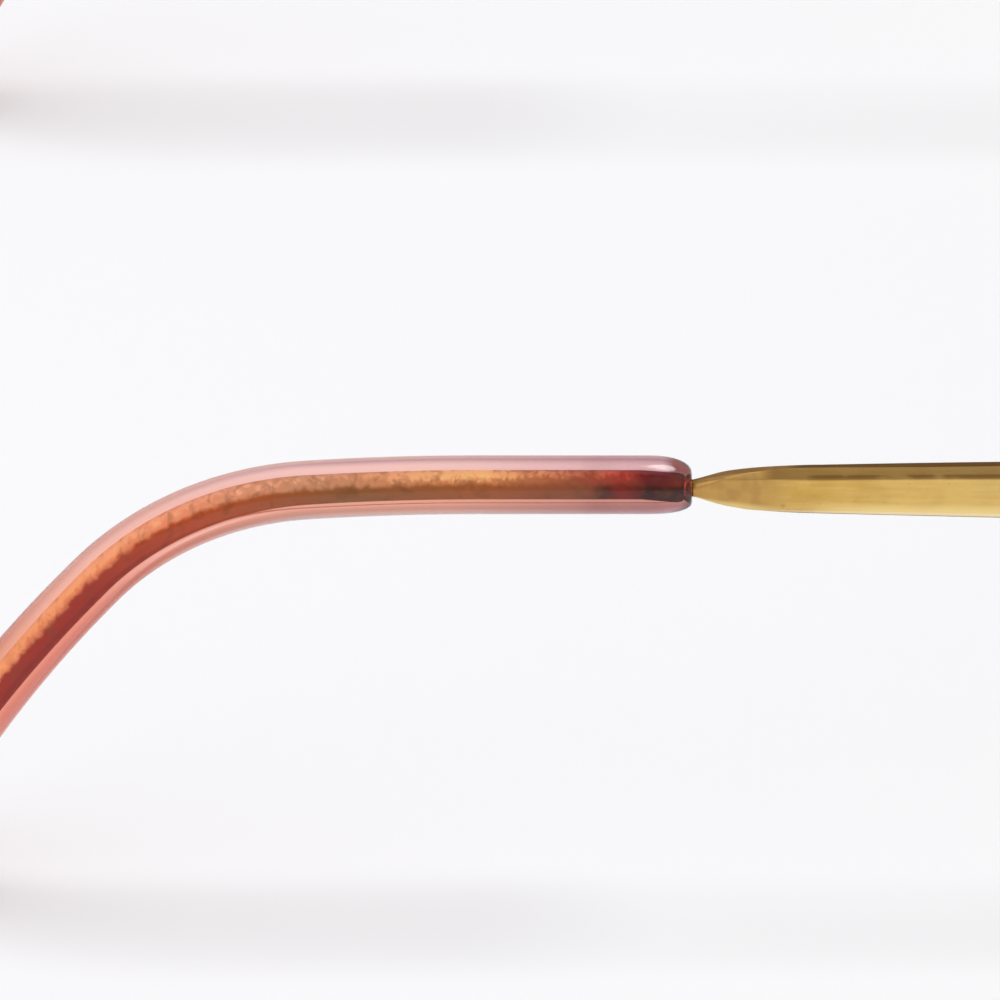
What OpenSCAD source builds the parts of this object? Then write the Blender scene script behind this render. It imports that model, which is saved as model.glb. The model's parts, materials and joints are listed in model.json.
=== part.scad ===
// Metal-rimmed eyeglass frame: round-bottomed eyewires with demo lenses, an arched bridge,
// rocking nose pads, three-knuckle hinges, and flat bevelled temples. Each temple is drawn
// down to a thin neck and runs on as a round core inside a translucent sleeve bent behind the ear.
// The frame stands on a table with its temples open: +X is the wearer's left, -Y the front.

/* [Lenses] */
// Boxed width of a lens
lens_w = 48; // [45:1:52]
// Radius of a lens along its bottom
lens_bottom_r = 22; // [20:1:23]
// Radius of a lens along its top
lens_top_r = 45; // [40:1:50]
// Thickness of a lens
lens_t = 2; // [1.8:0.1:2.4]
// Radius of the front surface of a lens
lens_curve_r = 130; // [110:5:160]

/* [Front] */
// Distance between the two lenses
bridge_w = 20; // [18:1:22]
// Angle by which the top of the front leans forward
tilt = 6; // [3:1:9]
// Thickness of an eyewire, from its inner lip outwards
wire_t = 1.5; // [1.3:0.1:1.8]
// Depth of an eyewire, front to back
wire_depth = 2.2; // [2:0.1:2.6]
// Depth of the groove that holds the lens
groove_d = 0.6; // [0.5:0.1:0.7]
// Radius of the arched bridge, at its middle line
bridge_r = 14; // [13:0.5:16]
// Thickness of the bridge, up and down
bridge_t = 1.8; // [1.5:0.1:2.2]
// Depth of the bridge, front to back
bridge_depth = 2.4; // [2:0.1:2.8]

/* [Closing blocks] */
// Height of each half of the block that closes an eyewire
block_h = 2.9; // [2.4:0.1:3.4]
// Radius of the round side of the block
block_r = 1.1; // [1:0.05:1.3]
// Radius of the closing screw
rim_screw_r = 0.5; // [0.4:0.05:0.6]
// Saw gap between the two ends of an eyewire
rim_gap = 0.3; // [0.2:0.05:0.4]

/* [Temples] */
// Length of a temple, from the hinge along its middle line to the end of the sleeve
temple_len = 140; // [135:1:150]
// Height of the temple at the hinge
bar_h = 5.2; // [4.6:0.1:5.6]
// Height of the temple at the shoulder, where it starts to narrow to its point
shoulder_h = 3.5; // [3.2:0.1:3.8]
// Thickness of the temple
bar_t = 1.3; // [1.2:0.1:1.5]
// Length of the pointed end of the temple
lance_len = 9; // [7:0.5:11]
// Radius of the neck, where the temple enters the sleeve
neck_r = 0.6; // [0.5:0.02:0.64]
// Distance by which the middle of the temple climbs from the hinge back to the neck
bar_rise = 0.65; // [0.4:0.05:0.9]
// Width of the bevel along each outer edge
bevel_w = 1; // [0.8:0.1:1.1]
// Angle of the bevel, from the flat of the temple
bevel_a = 51; // [45:1:55]
// Distance from the lens plane back to the hinge pin
hinge_back = 8.5; // [8:0.5:10]
// Distance from the outer end of the eyewire out to the face of the temple
temple_out = 8.6; // [8:0.2:10]
// Outer radius of the bend of the end piece
corner_r = 3.5; // [3.2:0.1:4]

/* [Sleeves] */
// Radius of the sleeve along its straight part
sleeve_r = 2.08; // [1.9:0.02:2.2]
// Radius of the sleeve at its end, up and down
paddle_r = 2.5; // [2.2:0.1:2.8]
// Radius of the sleeve at its end, across
paddle_side_r = 2.1; // [1.9:0.1:2.3]
// Radius of the metal core
core_r = 0.74; // [0.7:0.02:0.84]
// Height of the sleeve and its core above the neck
core_up = 0.26; // [0.1:0.02:0.36]
// Straight length of the sleeve, from its mouth
sleeve_straight = 15; // [13:0.5:18]
// Radius and angle of the easing before the bend
ease_r = 170; // [150:5:190]
ease_a = 4.1; // [3:0.1:5]
// Radius and angle of the bend over the ear
bend_r = 21.8; // [20:0.2:23]
bend_a = 44.5; // [42:0.5:47]
// Radius and angle of the long curve behind the ear
drop_r = 100; // [90:2:110]
drop_a = 10; // [8:0.5:12]
// Angle by which the sleeve leans towards the head as it drops
lean = 5; // [3:1:8]

/* [Hinges] */
// Height of a hinge, over its three knuckles
hinge_h = 4.4; // [4:0.1:4.6]
// Radius of a knuckle
knuckle_r = 1.25; // [1.15:0.05:1.35]
// Radius of the hinge screw
hinge_screw_r = 0.6; // [0.5:0.05:0.7]
// Thickness of a hinge leaf
leaf_t = 0.8; // [0.7:0.05:0.9]
// Length of a hinge leaf
leaf_len = 5; // [4.5:0.1:5.2]

/* [Nose pads] */
// Height of a nose pad
pad_h = 14; // [13:0.5:15]
// Width of a nose pad
pad_w = 7.4; // [7:0.2:8]
// Thickness of a nose pad
pad_t = 2.2; // [2:0.1:2.6]
// Angle by which the pads open towards the back
pad_splay = 28; // [24:1:32]
// Angle by which the pads open towards the bottom
pad_flare = 12; // [8:1:16]
// Radius of the wire of a pad arm
arm_r = 0.5; // [0.4:0.05:0.55]
// Radius of the bend in a pad arm
arm_bend_r = 2.2; // [1.9:0.1:2.4]
// Radius of the pad screw
pad_screw_r = 0.45; // [0.4:0.02:0.48]

/* [Hidden] */
$fn = 64;

gold = "#c9a456";
rose = "#cf7f78";
clear = "#dfe6e8";
pad_clear = "#e6dcd6";

// Clearances
lens_fit = 0.05; // between a lens and its groove
running = 0.05; // radial, of a screw in what turns on it
knuckle_gap = 0.04; // between knuckles
knuckle_room = 0.12; // between a knuckle and the other leaf's plate
butt_gap = 0.08; // on each side of the joint between end piece and temple
core_fit = 0.12; // between the core and the sleeve's bore
overrun = 1; // by which a cutter runs past what it cuts

// Outline of a lens: six tangent arcs, alike left and right of its middle
bottom_half_a = 45;
top_half_a = 20;
half_w = lens_w / 2;
side_low_r = (half_w - lens_bottom_r * sin(bottom_half_a)) / (1 - sin(bottom_half_a));
side_top_r = (half_w - lens_top_r * sin(top_half_a)) / (1 - sin(top_half_a));
lens_low = lens_bottom_r * (1 - cos(bottom_half_a)) + side_low_r * cos(bottom_half_a);
lens_high = side_top_r * cos(top_half_a) + lens_top_r * (1 - cos(top_half_a));
// Each arc, from the temple side round over the top:
// [radius, first angle, last angle, centre across, centre up, steps]
LENS_ARCS = [
    [side_top_r, 0, 90 - top_half_a, half_w - side_top_r, 0, 12],
    [lens_top_r, 90 - top_half_a, 90 + top_half_a, 0, lens_high - lens_top_r, 10],
    [side_top_r, 90 + top_half_a, 180, side_top_r - half_w, 0, 12],
    [side_low_r, 180, 270 - bottom_half_a, side_low_r - half_w, 0, 9],
    [lens_bottom_r, 270 - bottom_half_a, 270 + bottom_half_a, 0, lens_bottom_r - lens_low, 16],
    [side_low_r, 270 + bottom_half_a, 360, half_w - side_low_r, 0, 9]
];
lens_x = (bridge_w + lens_w) / 2;
wire_out = wire_t - groove_d; // of the eyewire past the lens outline
wire_round = 1.3; // radius of the eyewire's rounded outside
groove_half = 0.62; // half the groove's width at its mouth
rim_x = lens_x + half_w + wire_out; // outer end of the eyewire

// Closing blocks and their screw, seen from the front
block_x = rim_x + block_r;
rim_head_r = 0.85;
rim_head_h = 0.45;
block_sink = 0.05; // of the block's round side into the end piece, before it is cut
block_root = 0.6; // of the block past its round side, before it is cut to the eyewire
rim_screw_short = 0.2; // from the screw's end to the top of its hole

// Heights
wire_low = lens_low + wire_out;
round_share = 0.6; // of the eyewire's depth that still counts where its outside is rounded
front_z = wire_low * cos(tilt) + wire_depth / 2 * sin(tilt) * round_share;
end_piece_up = 0.2; // lower edge of the end piece, above the widest line of the lenses
hinge_up = end_piece_up + bar_h / 2;
hinge_z = front_z + hinge_up;

// Bend of the sleeve: angle, distance back and drop at the end of each arc
a1 = ease_a;
a2 = a1 + bend_a;
a3 = a2 + drop_a;
u1 = sleeve_straight;
u2 = u1 + ease_r * sin(a1);
d2 = ease_r * (1 - cos(a1));
u3 = u2 + bend_r * (sin(a2) - sin(a1));
d3 = d2 + bend_r * (cos(a1) - cos(a2));
u4 = u3 + drop_r * (sin(a3) - sin(a2));
d4 = d3 + drop_r * (cos(a2) - cos(a3));
neck_z = hinge_z + bar_rise;
core_z = neck_z + core_up;
drop = (core_z - paddle_r) / cos(lean); // so that the end touches the table
end_len = (drop - d4) / sin(a3);
s1 = u1;
s2 = s1 + ease_r * a1 * PI / 180;
s3 = s2 + bend_r * bend_a * PI / 180;
s4 = s3 + drop_r * drop_a * PI / 180;
s5 = s4 + end_len;
sleeve_len = s5 + paddle_r;
core_end = max(s5 - 5, s4 + 1); // where the core stops, along the sleeve
neck_in = 3.5; // of the thin neck inside the sleeve
neck_tilt = atan(core_up / neck_in); // of the neck, from the mouth up to the core
neck_taper = 0.5; // over which the neck widens to the core
bead_gap = 0.05; // between the core's lengths, inside the bead that joins them
bead_over = 0.03; // of a bead's radius past that of the core or neck
bore_past = 0.5; // of the bore past the core's end
mouth_r = 1.05; // radius of the sleeve at its mouth
mouth_len = 3.7; // over which the mouth is rounded
grow_power = 2.2; // lateness of the sleeve's thickening towards its end
slope_from = 12; // forward of the mouth, from where the bevel's slope is taken
lance_power = 1.75; // fullness of the pointed end
lance_steps = 14;
shank_power = 2.3; // fullness of the widening towards the hinge
tip_half = neck_r + 0.03; // half the height of the temple's tip, round the neck
neck_room = 0.1; // of the turned outline past the flat one, at the neck
neck_flare = 0.03; // by which that grows with each mm

// Places in plan: the front's lens plane is at lens_y, so that the whole is centred
bar_len = temple_len - sleeve_len;
temple_face_x = rim_x + temple_out;
temple_x = temple_face_x - bar_t / 2;
pin_x = temple_face_x - bar_t - running - knuckle_r;
sleeve_back = u4 + end_len * cos(a3) + paddle_r;
front_out = wire_depth / 2 + (lens_high + wire_out) * sin(tilt);
depth = front_out + hinge_back + bar_len + sleeve_back;
lens_y = front_out - depth / 2;
hinge_y = lens_y + hinge_back;
mouth_y = hinge_y + bar_len;
leg_front = wire_depth / 2; // the end piece's face is level with the eyewire's
block_back = bar_t - leg_front + block_r - block_sink; // of the screw behind the lens plane
bevel_in = bevel_w * sin(bevel_a); // of the bevel into the thickness
bevel_up = bevel_w * cos(bevel_a); // of the bevel along the height

// Nose pads: the pad screw's place from the nasal end of the lens outline
pad_in = 0.3;
pad_down = 8.6;
pad_behind = 6.6;
pad_x = bridge_w / 2 - pad_in;
boss_r = 0.85;
boss_half = 0.65;
ear_t = 0.35;
ear_r = 1;
ear_nose = 0.5; // of the ears past the screw, towards the pad
ear_in = boss_half + running; // inner face of an ear
clasp_back = 1.4; // inner face of the clasp's back
insert_face = 0.7; // from the screw to the insert's plate
insert_t = 0.3;
insert_h = 5; // height and width of the insert's plate, inside the pad
insert_w = 3;
stem_t = 1.4; // thickness of the stem between boss and plate
stem_in = 0.1; // of the stem into the plate
pad_head_r = 0.75;
pad_head_h = 0.4;
pad_back = insert_face + insert_t; // from the screw to the back of the pad
arm_start = clasp_back + ear_t;
arm_first = 0.7; // straight length of the arm at the clasp
arm_up = -4; // where the arm meets the eyewire, from its widest line
arm_rim_depth = wire_depth / 2 - 0.3;
arm_in = 0.7; // by which the arm is drawn into the eyewire, before it is cut

// Draws the front flat, with +X across, +Y up and +Z forwards, and stands it up
module stand_up() {
    translate([0, lens_y, front_z]) rotate([90 + tilt, 0, 0]) children();
}

module at_lens() {
    translate([lens_x, 0, 0]) children();
}

// Stations along the outline, from one side of the saw gap round to the other:
// [radius, angle, centre across, centre up]
PATH = concat(
    [[side_top_r, asin(rim_gap / 2 / side_top_r), half_w - side_top_r, 0]],
    [for (arc = LENS_ARCS) for (i = [0:arc[5] - 1]) if (arc[1] > 0 || i > 0)
        [arc[0], arc[1] + (arc[2] - arc[1]) * i / arc[5], arc[3], arc[4]]],
    [[side_low_r, 360 - asin(rim_gap / 2 / side_low_r), half_w - side_low_r, 0]]
);

// A point by its distance out from the outline, and forwards
function at_station(p, out, fore) =
    [lens_x + p[2] + (p[0] + out) * cos(p[1]), p[3] + (p[0] + out) * sin(p[1]), fore];
function section_at(p, profile) = [for (c = profile) at_station(p, c[0], c[1])];

// The rounded outside of an eyewire, from front to back: [out, fore]
wire_round_a = asin(wire_depth / 2 / wire_round);
WIRE_OUTSIDE = [
    for (i = [0:6]) let (q = wire_round_a * (1 - i / 3))
        [wire_out - wire_round * (1 - cos(q)), wire_round * sin(q)]
];

// A closed skin over rings of points, each end closed by a fan round a middle point
module skin(rings, first, last) {
    n = len(rings[0]);
    k = len(rings);
    faces = concat(
        [for (j = [0:k - 2], i = [0:n - 1]) let (i2 = (i + 1) % n)
            [j * n + i, (j + 1) * n + i2, j * n + i2]],
        [for (j = [0:k - 2], i = [0:n - 1]) let (i2 = (i + 1) % n)
            [j * n + i, (j + 1) * n + i, (j + 1) * n + i2]],
        [for (i = [0:n - 1]) [k * n, i, (i + 1) % n]],
        [for (i = [0:n - 1]) [k * n + 1, (k - 1) * n + (i + 1) % n, (k - 1) * n + i]]
    );
    polyhedron(concat([for (r = rings) each r], [first, last]), faces);
}

module sweep(stations, profile, mid_out) {
    skin(
        [for (p = stations) section_at(p, profile)],
        at_station(stations[0], mid_out, 0), at_station(stations[len(stations) - 1], mid_out, 0)
    );
}

envelope_half = 3; // half the depth of an envelope that cuts right through

// Everything inside the outer surface of an eyewire, along some of its stations
module envelope(stations, half_depth) {
    inwards = 6;
    profile = concat(
        [[-inwards, half_depth], [0, half_depth]], WIRE_OUTSIDE,
        [[0, -half_depth], [-inwards, -half_depth]]
    );
    sweep(stations, profile, -inwards / 2);
}

module envelope_outer() {
    n = len(PATH);
    below = 8; // stations below and above the saw gap
    above = 10;
    envelope(concat([for (i = [n - below:n - 1]) PATH[i]], [for (i = [0:above]) PATH[i]]), envelope_half);
}

module envelope_nasal(half_depth = envelope_half) {
    first = 24; // stations along the nasal side
    last = 46;
    envelope([for (i = [first:last]) PATH[i]], half_depth);
}

// A grooved wire bent round the lens, with a saw gap at the closing block
module eyewire() {
    profile = concat(
        [[-groove_d, wire_depth / 2]], WIRE_OUTSIDE,
        [[-groove_d, -wire_depth / 2], [-groove_d, -groove_half], [0, 0], [-groove_d, groove_half]]
    );
    color(gold) stand_up() sweep(PATH, profile, wire_out / 3);
}

// Front surface of a lens, as a height above the lens plane
lens_mid_up = (lens_high - lens_low) / 2;
function lens_sag(r) = lens_curve_r - sqrt(pow(lens_curve_r, 2) - pow(r, 2));
lens_crown = lens_t / 2 + (lens_sag(half_w) + lens_sag((lens_high + lens_low) / 2)) / 2;
function lens_front(x, y) = lens_crown - lens_sag(norm([x - lens_x, y - lens_mid_up]));

// A lens bulges forwards, and its bevelled edge sits in the eyewire's groove
module lens() {
    edge_out = -groove_d - lens_fit;
    mid = [lens_x, lens_mid_up, 0];
    function on_face(p, share, back) =
        let (e = at_station(p, edge_out, 0), q = mid + share * (e - mid))
            [q[0], q[1], lens_front(q[0], q[1]) - back];
    function face_ring(share, back) = [for (p = PATH) on_face(p, share, back)];
    function edge_ring(out, fore) = [for (p = PATH) at_station(p, out, fore)];
    shares = [0.3, 0.6, 0.84, 1]; // of a face ring's reach from the middle to the edge
    rings = concat(
        [for (share = shares) face_ring(share, lens_t)],
        [edge_ring(edge_out, -groove_half), edge_ring(-lens_fit, 0), edge_ring(edge_out, groove_half)],
        [for (i = [len(shares) - 1:-1:0]) face_ring(shares[i], 0)]
    );
    color(clear, 0.35) stand_up()
        skin(rings, mid + [0, 0, lens_crown - lens_t], mid + [0, 0, lens_crown]);
}

// An arched bar, cut to the eyewires that it is brazed to
module bridge() {
    seat_up = 0.37 * lens_high;
    half_a = asin((bridge_w / 2 + 1) / bridge_r);
    forward_lean = 12;
    color(gold) stand_up() difference() {
        translate([0, seat_up, 0]) rotate([forward_lean, 0, 0])
            translate([0, -sqrt(pow(bridge_r, 2) - pow(bridge_w / 2, 2)), 0])
                rotate([0, 0, 90 - half_a]) rotate_extrude(angle = 2 * half_a)
                    translate([bridge_r, 0]) intersection() {
                        square([bridge_t, bridge_depth + overrun], center = true);
                        circle(d = bridge_depth);
                    }
        envelope_nasal();
        mirror([1, 0, 0]) envelope_nasal();
    }
}

module block_section() {
    circle(r = block_r);
    translate([-block_r - block_root, -block_r]) square([block_r + block_root, 2 * block_r]);
}

// One half of a closing block, drawn from height z0 up, and its screw hole
module block_half(z0) {
    difference() {
        translate([block_x, z0, -block_back]) rotate([-90, 0, 0])
            linear_extrude(block_h) block_section();
        envelope_outer();
        translate([block_x, z0 - overrun, -block_back]) rotate([-90, 0, 0])
            cylinder(r = rim_screw_r, h = block_h + 2 * overrun);
    }
}

module closing_block_lower() {
    color(gold) stand_up() block_half(-rim_gap / 2 - block_h);
}

module closing_block_upper() {
    color(gold) difference() {
        stand_up() block_half(rim_gap / 2);
        end_piece_leg();
    }
}

// Enters from below, through the lower half into the upper
module rim_screw() {
    head_z = -rim_gap / 2 - block_h;
    color(gold) stand_up() translate([block_x, head_z, -block_back]) rotate([-90, 0, 0])
        slotted_screw(rim_screw_r, 2 * block_h + rim_gap - rim_screw_short, rim_head_r, rim_head_h);
}

// A slotted screw with its head below z = 0 and its shank above
module slotted_screw(shank_r, shank_len, head_r, head_h) {
    slot_w = head_r * 0.35;
    difference() {
        union() {
            cylinder(r = shank_r, h = shank_len);
            translate([0, 0, -head_h]) cylinder(r1 = head_r * 0.86, r2 = head_r, h = head_h * 0.3);
            translate([0, 0, -head_h * 0.7]) cylinder(r = head_r, h = head_h * 0.7);
        }
        translate([-head_r - overrun, -slot_w / 2, -head_h - overrun])
            cube([2 * (head_r + overrun), slot_w, head_h * 0.5 + overrun]);
    }
}

// Section of the end piece and the temple: x from the inner face out, y up
module bar_section(h) {
    polygon([
        [0, -h / 2], [bar_t - bevel_in, -h / 2], [bar_t, -h / 2 + bevel_up],
        [bar_t, h / 2 - bevel_up], [bar_t - bevel_in, h / 2], [0, h / 2]
    ]);
}

module end_piece_leg() {
    bend_x = temple_face_x - corner_r;
    leg_x = rim_x - 2;
    translate([leg_x, lens_y - leg_front + bar_t, hinge_z]) rotate([90, 0, 90])
        linear_extrude(bend_x - leg_x) mirror([1, 0]) bar_section(bar_h);
}

// Runs out from the eyewire and round the corner to the hinge
module end_piece() {
    bend_x = temple_face_x - corner_r;
    bend_y = lens_y - leg_front + corner_r;
    color(gold) difference() {
        union() {
            end_piece_leg();
            translate([bend_x, bend_y, hinge_z]) rotate([0, 0, -90])
                rotate_extrude(angle = 90) translate([corner_r - bar_t, 0]) bar_section(bar_h);
            translate([temple_face_x - bar_t, hinge_y - butt_gap, hinge_z]) rotate([90, 0, 0])
                linear_extrude(hinge_y - butt_gap - bend_y) bar_section(bar_h);
        }
        stand_up() envelope_outer();
    }
}

// Half the height of the temple at a distance forward of the sleeve's mouth
function bar_half(m) =
    m < lance_len
    ? tip_half + (shoulder_h / 2 - tip_half) * (1 - pow(1 - m / lance_len, lance_power))
    : let (t = (m - lance_len) / (bar_len - lance_len))
        shoulder_h / 2 + (bar_h - shoulder_h) / 2 * (1 - pow(1 - t, shank_power));

// Height of the temple's middle line at that distance, above the middle of its hinge end
function bar_mid(m) = bar_rise * (1 - m / bar_len);

// Outline of the temple seen from the side: x is back from the hinge, y is up
module temple_outline() {
    shank_steps = 12;
    lance = [for (i = [0:lance_steps]) lance_len * i / lance_steps];
    shank = [for (i = [1:shank_steps]) lance_len + (bar_len - butt_gap - lance_len) * i / shank_steps];
    stations = concat(lance, shank);
    polygon(concat(
        [for (m = stations) [bar_len - m, bar_mid(m) + bar_half(m)]],
        [for (i = [len(stations) - 1:-1:0]) let (m = stations[i])
            [bar_len - m, bar_mid(m) - bar_half(m)]]
    ));
}

// Cuts the bevel along the upper outer edge, following the slope of that edge. Turned over,
// it cuts the lower one, and up is -1.
module bevel_cutter(up) {
    rise = bar_h / 2 - bar_half(slope_from) - up * bar_mid(slope_from);
    slope = atan(rise / (bar_len - slope_from));
    translate([temple_face_x, hinge_y - overrun, hinge_z + bar_h / 2 - bevel_up])
        rotate([-slope, 0, 0]) rotate([0, -90 + bevel_a, 0])
            cube([bar_h, bar_len + 2 * overrun, bar_h]);
}

// Places a piece drawn in the plane of the sleeve's bend: y is back from the mouth, z is up
module in_bend_plane() {
    translate([temple_x, mouth_y, core_z]) rotate([0, lean, 0]) children();
}

// One arc of the core's bend, from angle b0 to b1, short of a bead at each end
module bend_arc(u, d, r, b0, b1) {
    short = bead_gap / r * 180 / PI;
    translate([0, u - r * sin(b0), -d - r * cos(b0)]) rotate([0, -90, 0]) rotate([0, 0, b0 + short])
        rotate_extrude(angle = b1 - b0 - 2 * short) translate([r, 0]) circle(r = core_r);
}

module bead(u, d, r = core_r) {
    translate([0, u, -d]) sphere(r = r + bead_over);
}

// The neck, which climbs inside the sleeve to the round core
module core() {
    in_bend_plane() {
        translate([0, 0, -core_up]) rotate([neck_tilt - 90, 0, 0]) translate([0, 0, -overrun])
            cylinder(r = neck_r, h = overrun + neck_in / cos(neck_tilt) - bead_gap);
        bead(neck_in, 0, neck_r);
        rotate([-90, 0, 0]) rotate_extrude() polygon([
            [0, neck_in + bead_gap], [neck_r, neck_in + bead_gap], [core_r, neck_in + neck_taper],
            [core_r, u1 - bead_gap], [0, u1 - bead_gap]
        ]);
        bead(u1, 0);
        bend_arc(u1, 0, ease_r, 0, a1);
        bead(u2, d2);
        bend_arc(u2, d2, bend_r, a1, a2);
        bead(u3, d3);
        bend_arc(u3, d3, drop_r, a2, a3);
        bead(u4, d4);
        translate([0, u4, -d4]) rotate([-90 - a3, 0, 0]) translate([0, 0, bead_gap])
            cylinder(r = core_r, h = core_end - s4 - bead_gap);
    }
}

// A flat bar, bevelled outside, drawn down to a point and on into the core
module temple() {
    color(gold) union() {
        difference() {
            intersection() {
                translate([temple_face_x - bar_t, hinge_y, hinge_z]) rotate([90, 0, 90])
                    linear_extrude(bar_t) temple_outline();
                translate([temple_x, mouth_y, neck_z]) rotate([90, 0, 0]) rotate_extrude()
                    polygon(concat(
                        [[0, 0]],
                        [for (i = [0:lance_steps]) let (m = lance_len * i / lance_steps)
                            [bar_half(m) + neck_room + m * neck_flare, m]],
                        [[bar_h, lance_len], [bar_h, bar_len + overrun], [0, bar_len + overrun]]
                    ));
            }
            bevel_cutter(1);
            translate([0, 0, 2 * hinge_z]) mirror([0, 0, 1]) bevel_cutter(-1);
        }
        core();
    }
}

// Radius of the sleeve at a distance s from its mouth: up and down, and across
function sleeve_grow(s) = s < s2 ? 0 : pow((s - s2) / (s5 - s2), grow_power);
function mouth_share(s) = s >= mouth_len ? 0 : 1 - sqrt(1 - pow(1 - s / mouth_len, 3));
function sleeve_tall(s) =
    sleeve_r + (paddle_r - sleeve_r) * sleeve_grow(s) - (sleeve_r - mouth_r) * mouth_share(s);
function sleeve_wide(s) =
    sleeve_r + (paddle_side_r - sleeve_r) * sleeve_grow(s) - (sleeve_r - mouth_r) * mouth_share(s);

// Middle line of the sleeve at a distance s from its mouth: [back, drop, angle]
function middle(s) =
    s < s1 ? [s, 0, 0]
    : s < s2 ? on_arc(u1, 0, ease_r, 0, s - s1)
    : s < s3 ? on_arc(u2, d2, bend_r, a1, s - s2)
    : s < s4 ? on_arc(u3, d3, drop_r, a2, s - s3)
    : [u4 + (s - s4) * cos(a3), d4 + (s - s4) * sin(a3), a3];
function on_arc(u, d, r, b, s) =
    let (a = b + s / r * 180 / PI) [u + r * (sin(a) - sin(b)), d + r * (cos(b) - cos(a)), a];

// A ring of points round the middle line, or below it by a distance: [across, back, up]
function ring(s, tall, wide, n, low = 0) =
    let (m = middle(s))
    [for (i = [0:n - 1]) let (q = 360 * i / n, h = tall * cos(q) - low)
        [wide * sin(q), m[0] + h * sin(m[2]), -m[1] + h * cos(m[2])]];

// The sleeve: one closed skin, from the blind end of its bore out over the mouth to its end
module temple_sleeve() {
    n = 20;
    bore_r = core_r + core_fit;
    bore_end = core_end + bore_past;
    bore_steps = 24;
    mouth_steps = 7;
    body_steps = 26;
    cap_steps = 5;
    bore = [for (i = [0:bore_steps]) bore_end + (neck_in - bore_end) * i / bore_steps];
    mouth = [for (i = [0:mouth_steps]) mouth_len * pow(i / mouth_steps, 2)];
    body = [for (i = [1:body_steps]) mouth_len + (s5 - mouth_len) * i / body_steps];
    cap = [for (i = [1:cap_steps - 1]) 90 * i / cap_steps];
    rings = concat(
        [for (s = bore) ring(s, bore_r, bore_r, n)],
        [ring(0, bore_r, bore_r, n, core_up)],
        [for (s = concat(mouth, body))
            ring(s, sleeve_tall(s), sleeve_wide(s), n, core_up * mouth_share(s))],
        [for (c = cap)
            ring(s5 + paddle_r * sin(c), paddle_r * cos(c), paddle_side_r * cos(c), n)]
    );
    first = middle(bore_end);
    last = middle(s5 + paddle_r);
    color(rose, 0.8) in_bend_plane()
        skin(rings, [0, first[0], -first[1]], [0, last[0], -last[1]]);
}

hinge_head_r = 0.95;
hinge_head_h = 0.5;
hinge_screw_short = 0.1; // from the screw's end to the foot of its hole
knuckle_h = (hinge_h - 2 * knuckle_gap) / 3;
hinge_z0 = hinge_z - hinge_h / 2;

// Height of the foot of knuckle k, counted from the bottom
function knuckle_z(k) = hinge_z0 + k * (knuckle_h + knuckle_gap);

module knuckle(k, grow = 0) {
    translate([pin_x, hinge_y, knuckle_z(k) - grow])
        cylinder(r = knuckle_r + grow, h = knuckle_h + 2 * grow);
}

// A hinge leaf: a plate on the inner face of the bar, and the knuckles that it carries
module leaf(forward, own, others, hole_r) {
    plate_x = temple_face_x - bar_t - leaf_t;
    plate_gap = 0.2;
    plate_y = forward ? hinge_y - plate_gap - leaf_len : hinge_y + plate_gap;
    color(gold) difference() {
        union() {
            translate([plate_x, plate_y, hinge_z0]) cube([leaf_t, leaf_len, hinge_h]);
            for (k = own) knuckle(k);
        }
        for (k = others) knuckle(k, knuckle_room);
        translate([pin_x, hinge_y, hinge_z0 - overrun])
            cylinder(r = hole_r, h = hinge_h + 2 * overrun);
    }
}

module hinge_front_leaf() {
    leaf(true, [0, 2], [1], hinge_screw_r);
}

module hinge_temple_leaf() {
    leaf(false, [1], [0, 2], hinge_screw_r + running);
}

module hinge_screw() {
    color(gold) translate([pin_x, hinge_y, hinge_z0 + hinge_h]) mirror([0, 0, 1])
        slotted_screw(hinge_screw_r, hinge_h - hinge_screw_short, hinge_head_r, hinge_head_h);
}

// Places a piece drawn round the pad screw: -x is towards the nose, y is up, z is forwards
module at_pad() {
    stand_up() translate([pad_x, -pad_down, -pad_behind])
        rotate([0, 0, pad_flare]) rotate([0, -pad_splay, 0]) children();
}

// The eyewire point that the arm reaches for, in the pad's own directions
arm_rim_out = (WIRE_OUTSIDE[0][0] - groove_d) / 2;
arm_rim_x = lens_x + LENS_ARCS[3][3] - sqrt(pow(side_low_r + arm_rim_out, 2) - pow(arm_up, 2));
reach = [arm_rim_x - pad_x, arm_up + pad_down, pad_behind - arm_rim_depth];
unflared = [
    reach[0] * cos(pad_flare) + reach[1] * sin(pad_flare),
    reach[1] * cos(pad_flare) - reach[0] * sin(pad_flare), reach[2]
];
target = [
    unflared[0] * cos(pad_splay) + unflared[2] * sin(pad_splay), unflared[1],
    unflared[2] * cos(pad_splay) - unflared[0] * sin(pad_splay)
];
arm_roll = atan2(target[1], target[2]);
arm_across = norm([target[1], target[2]]) - arm_bend_r;
arm_along = target[0] - arm_start - arm_first;
arm_last = sqrt(pow(arm_along, 2) + pow(arm_across, 2) - pow(arm_bend_r, 2));
arm_short = bead_gap / arm_bend_r * 180 / PI;
arm_bead_r = arm_r + 0.02; // of the beads that join the arm's lengths
arm_turn = atan2(arm_across, arm_along) + atan2(arm_bend_r, arm_last);

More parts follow.
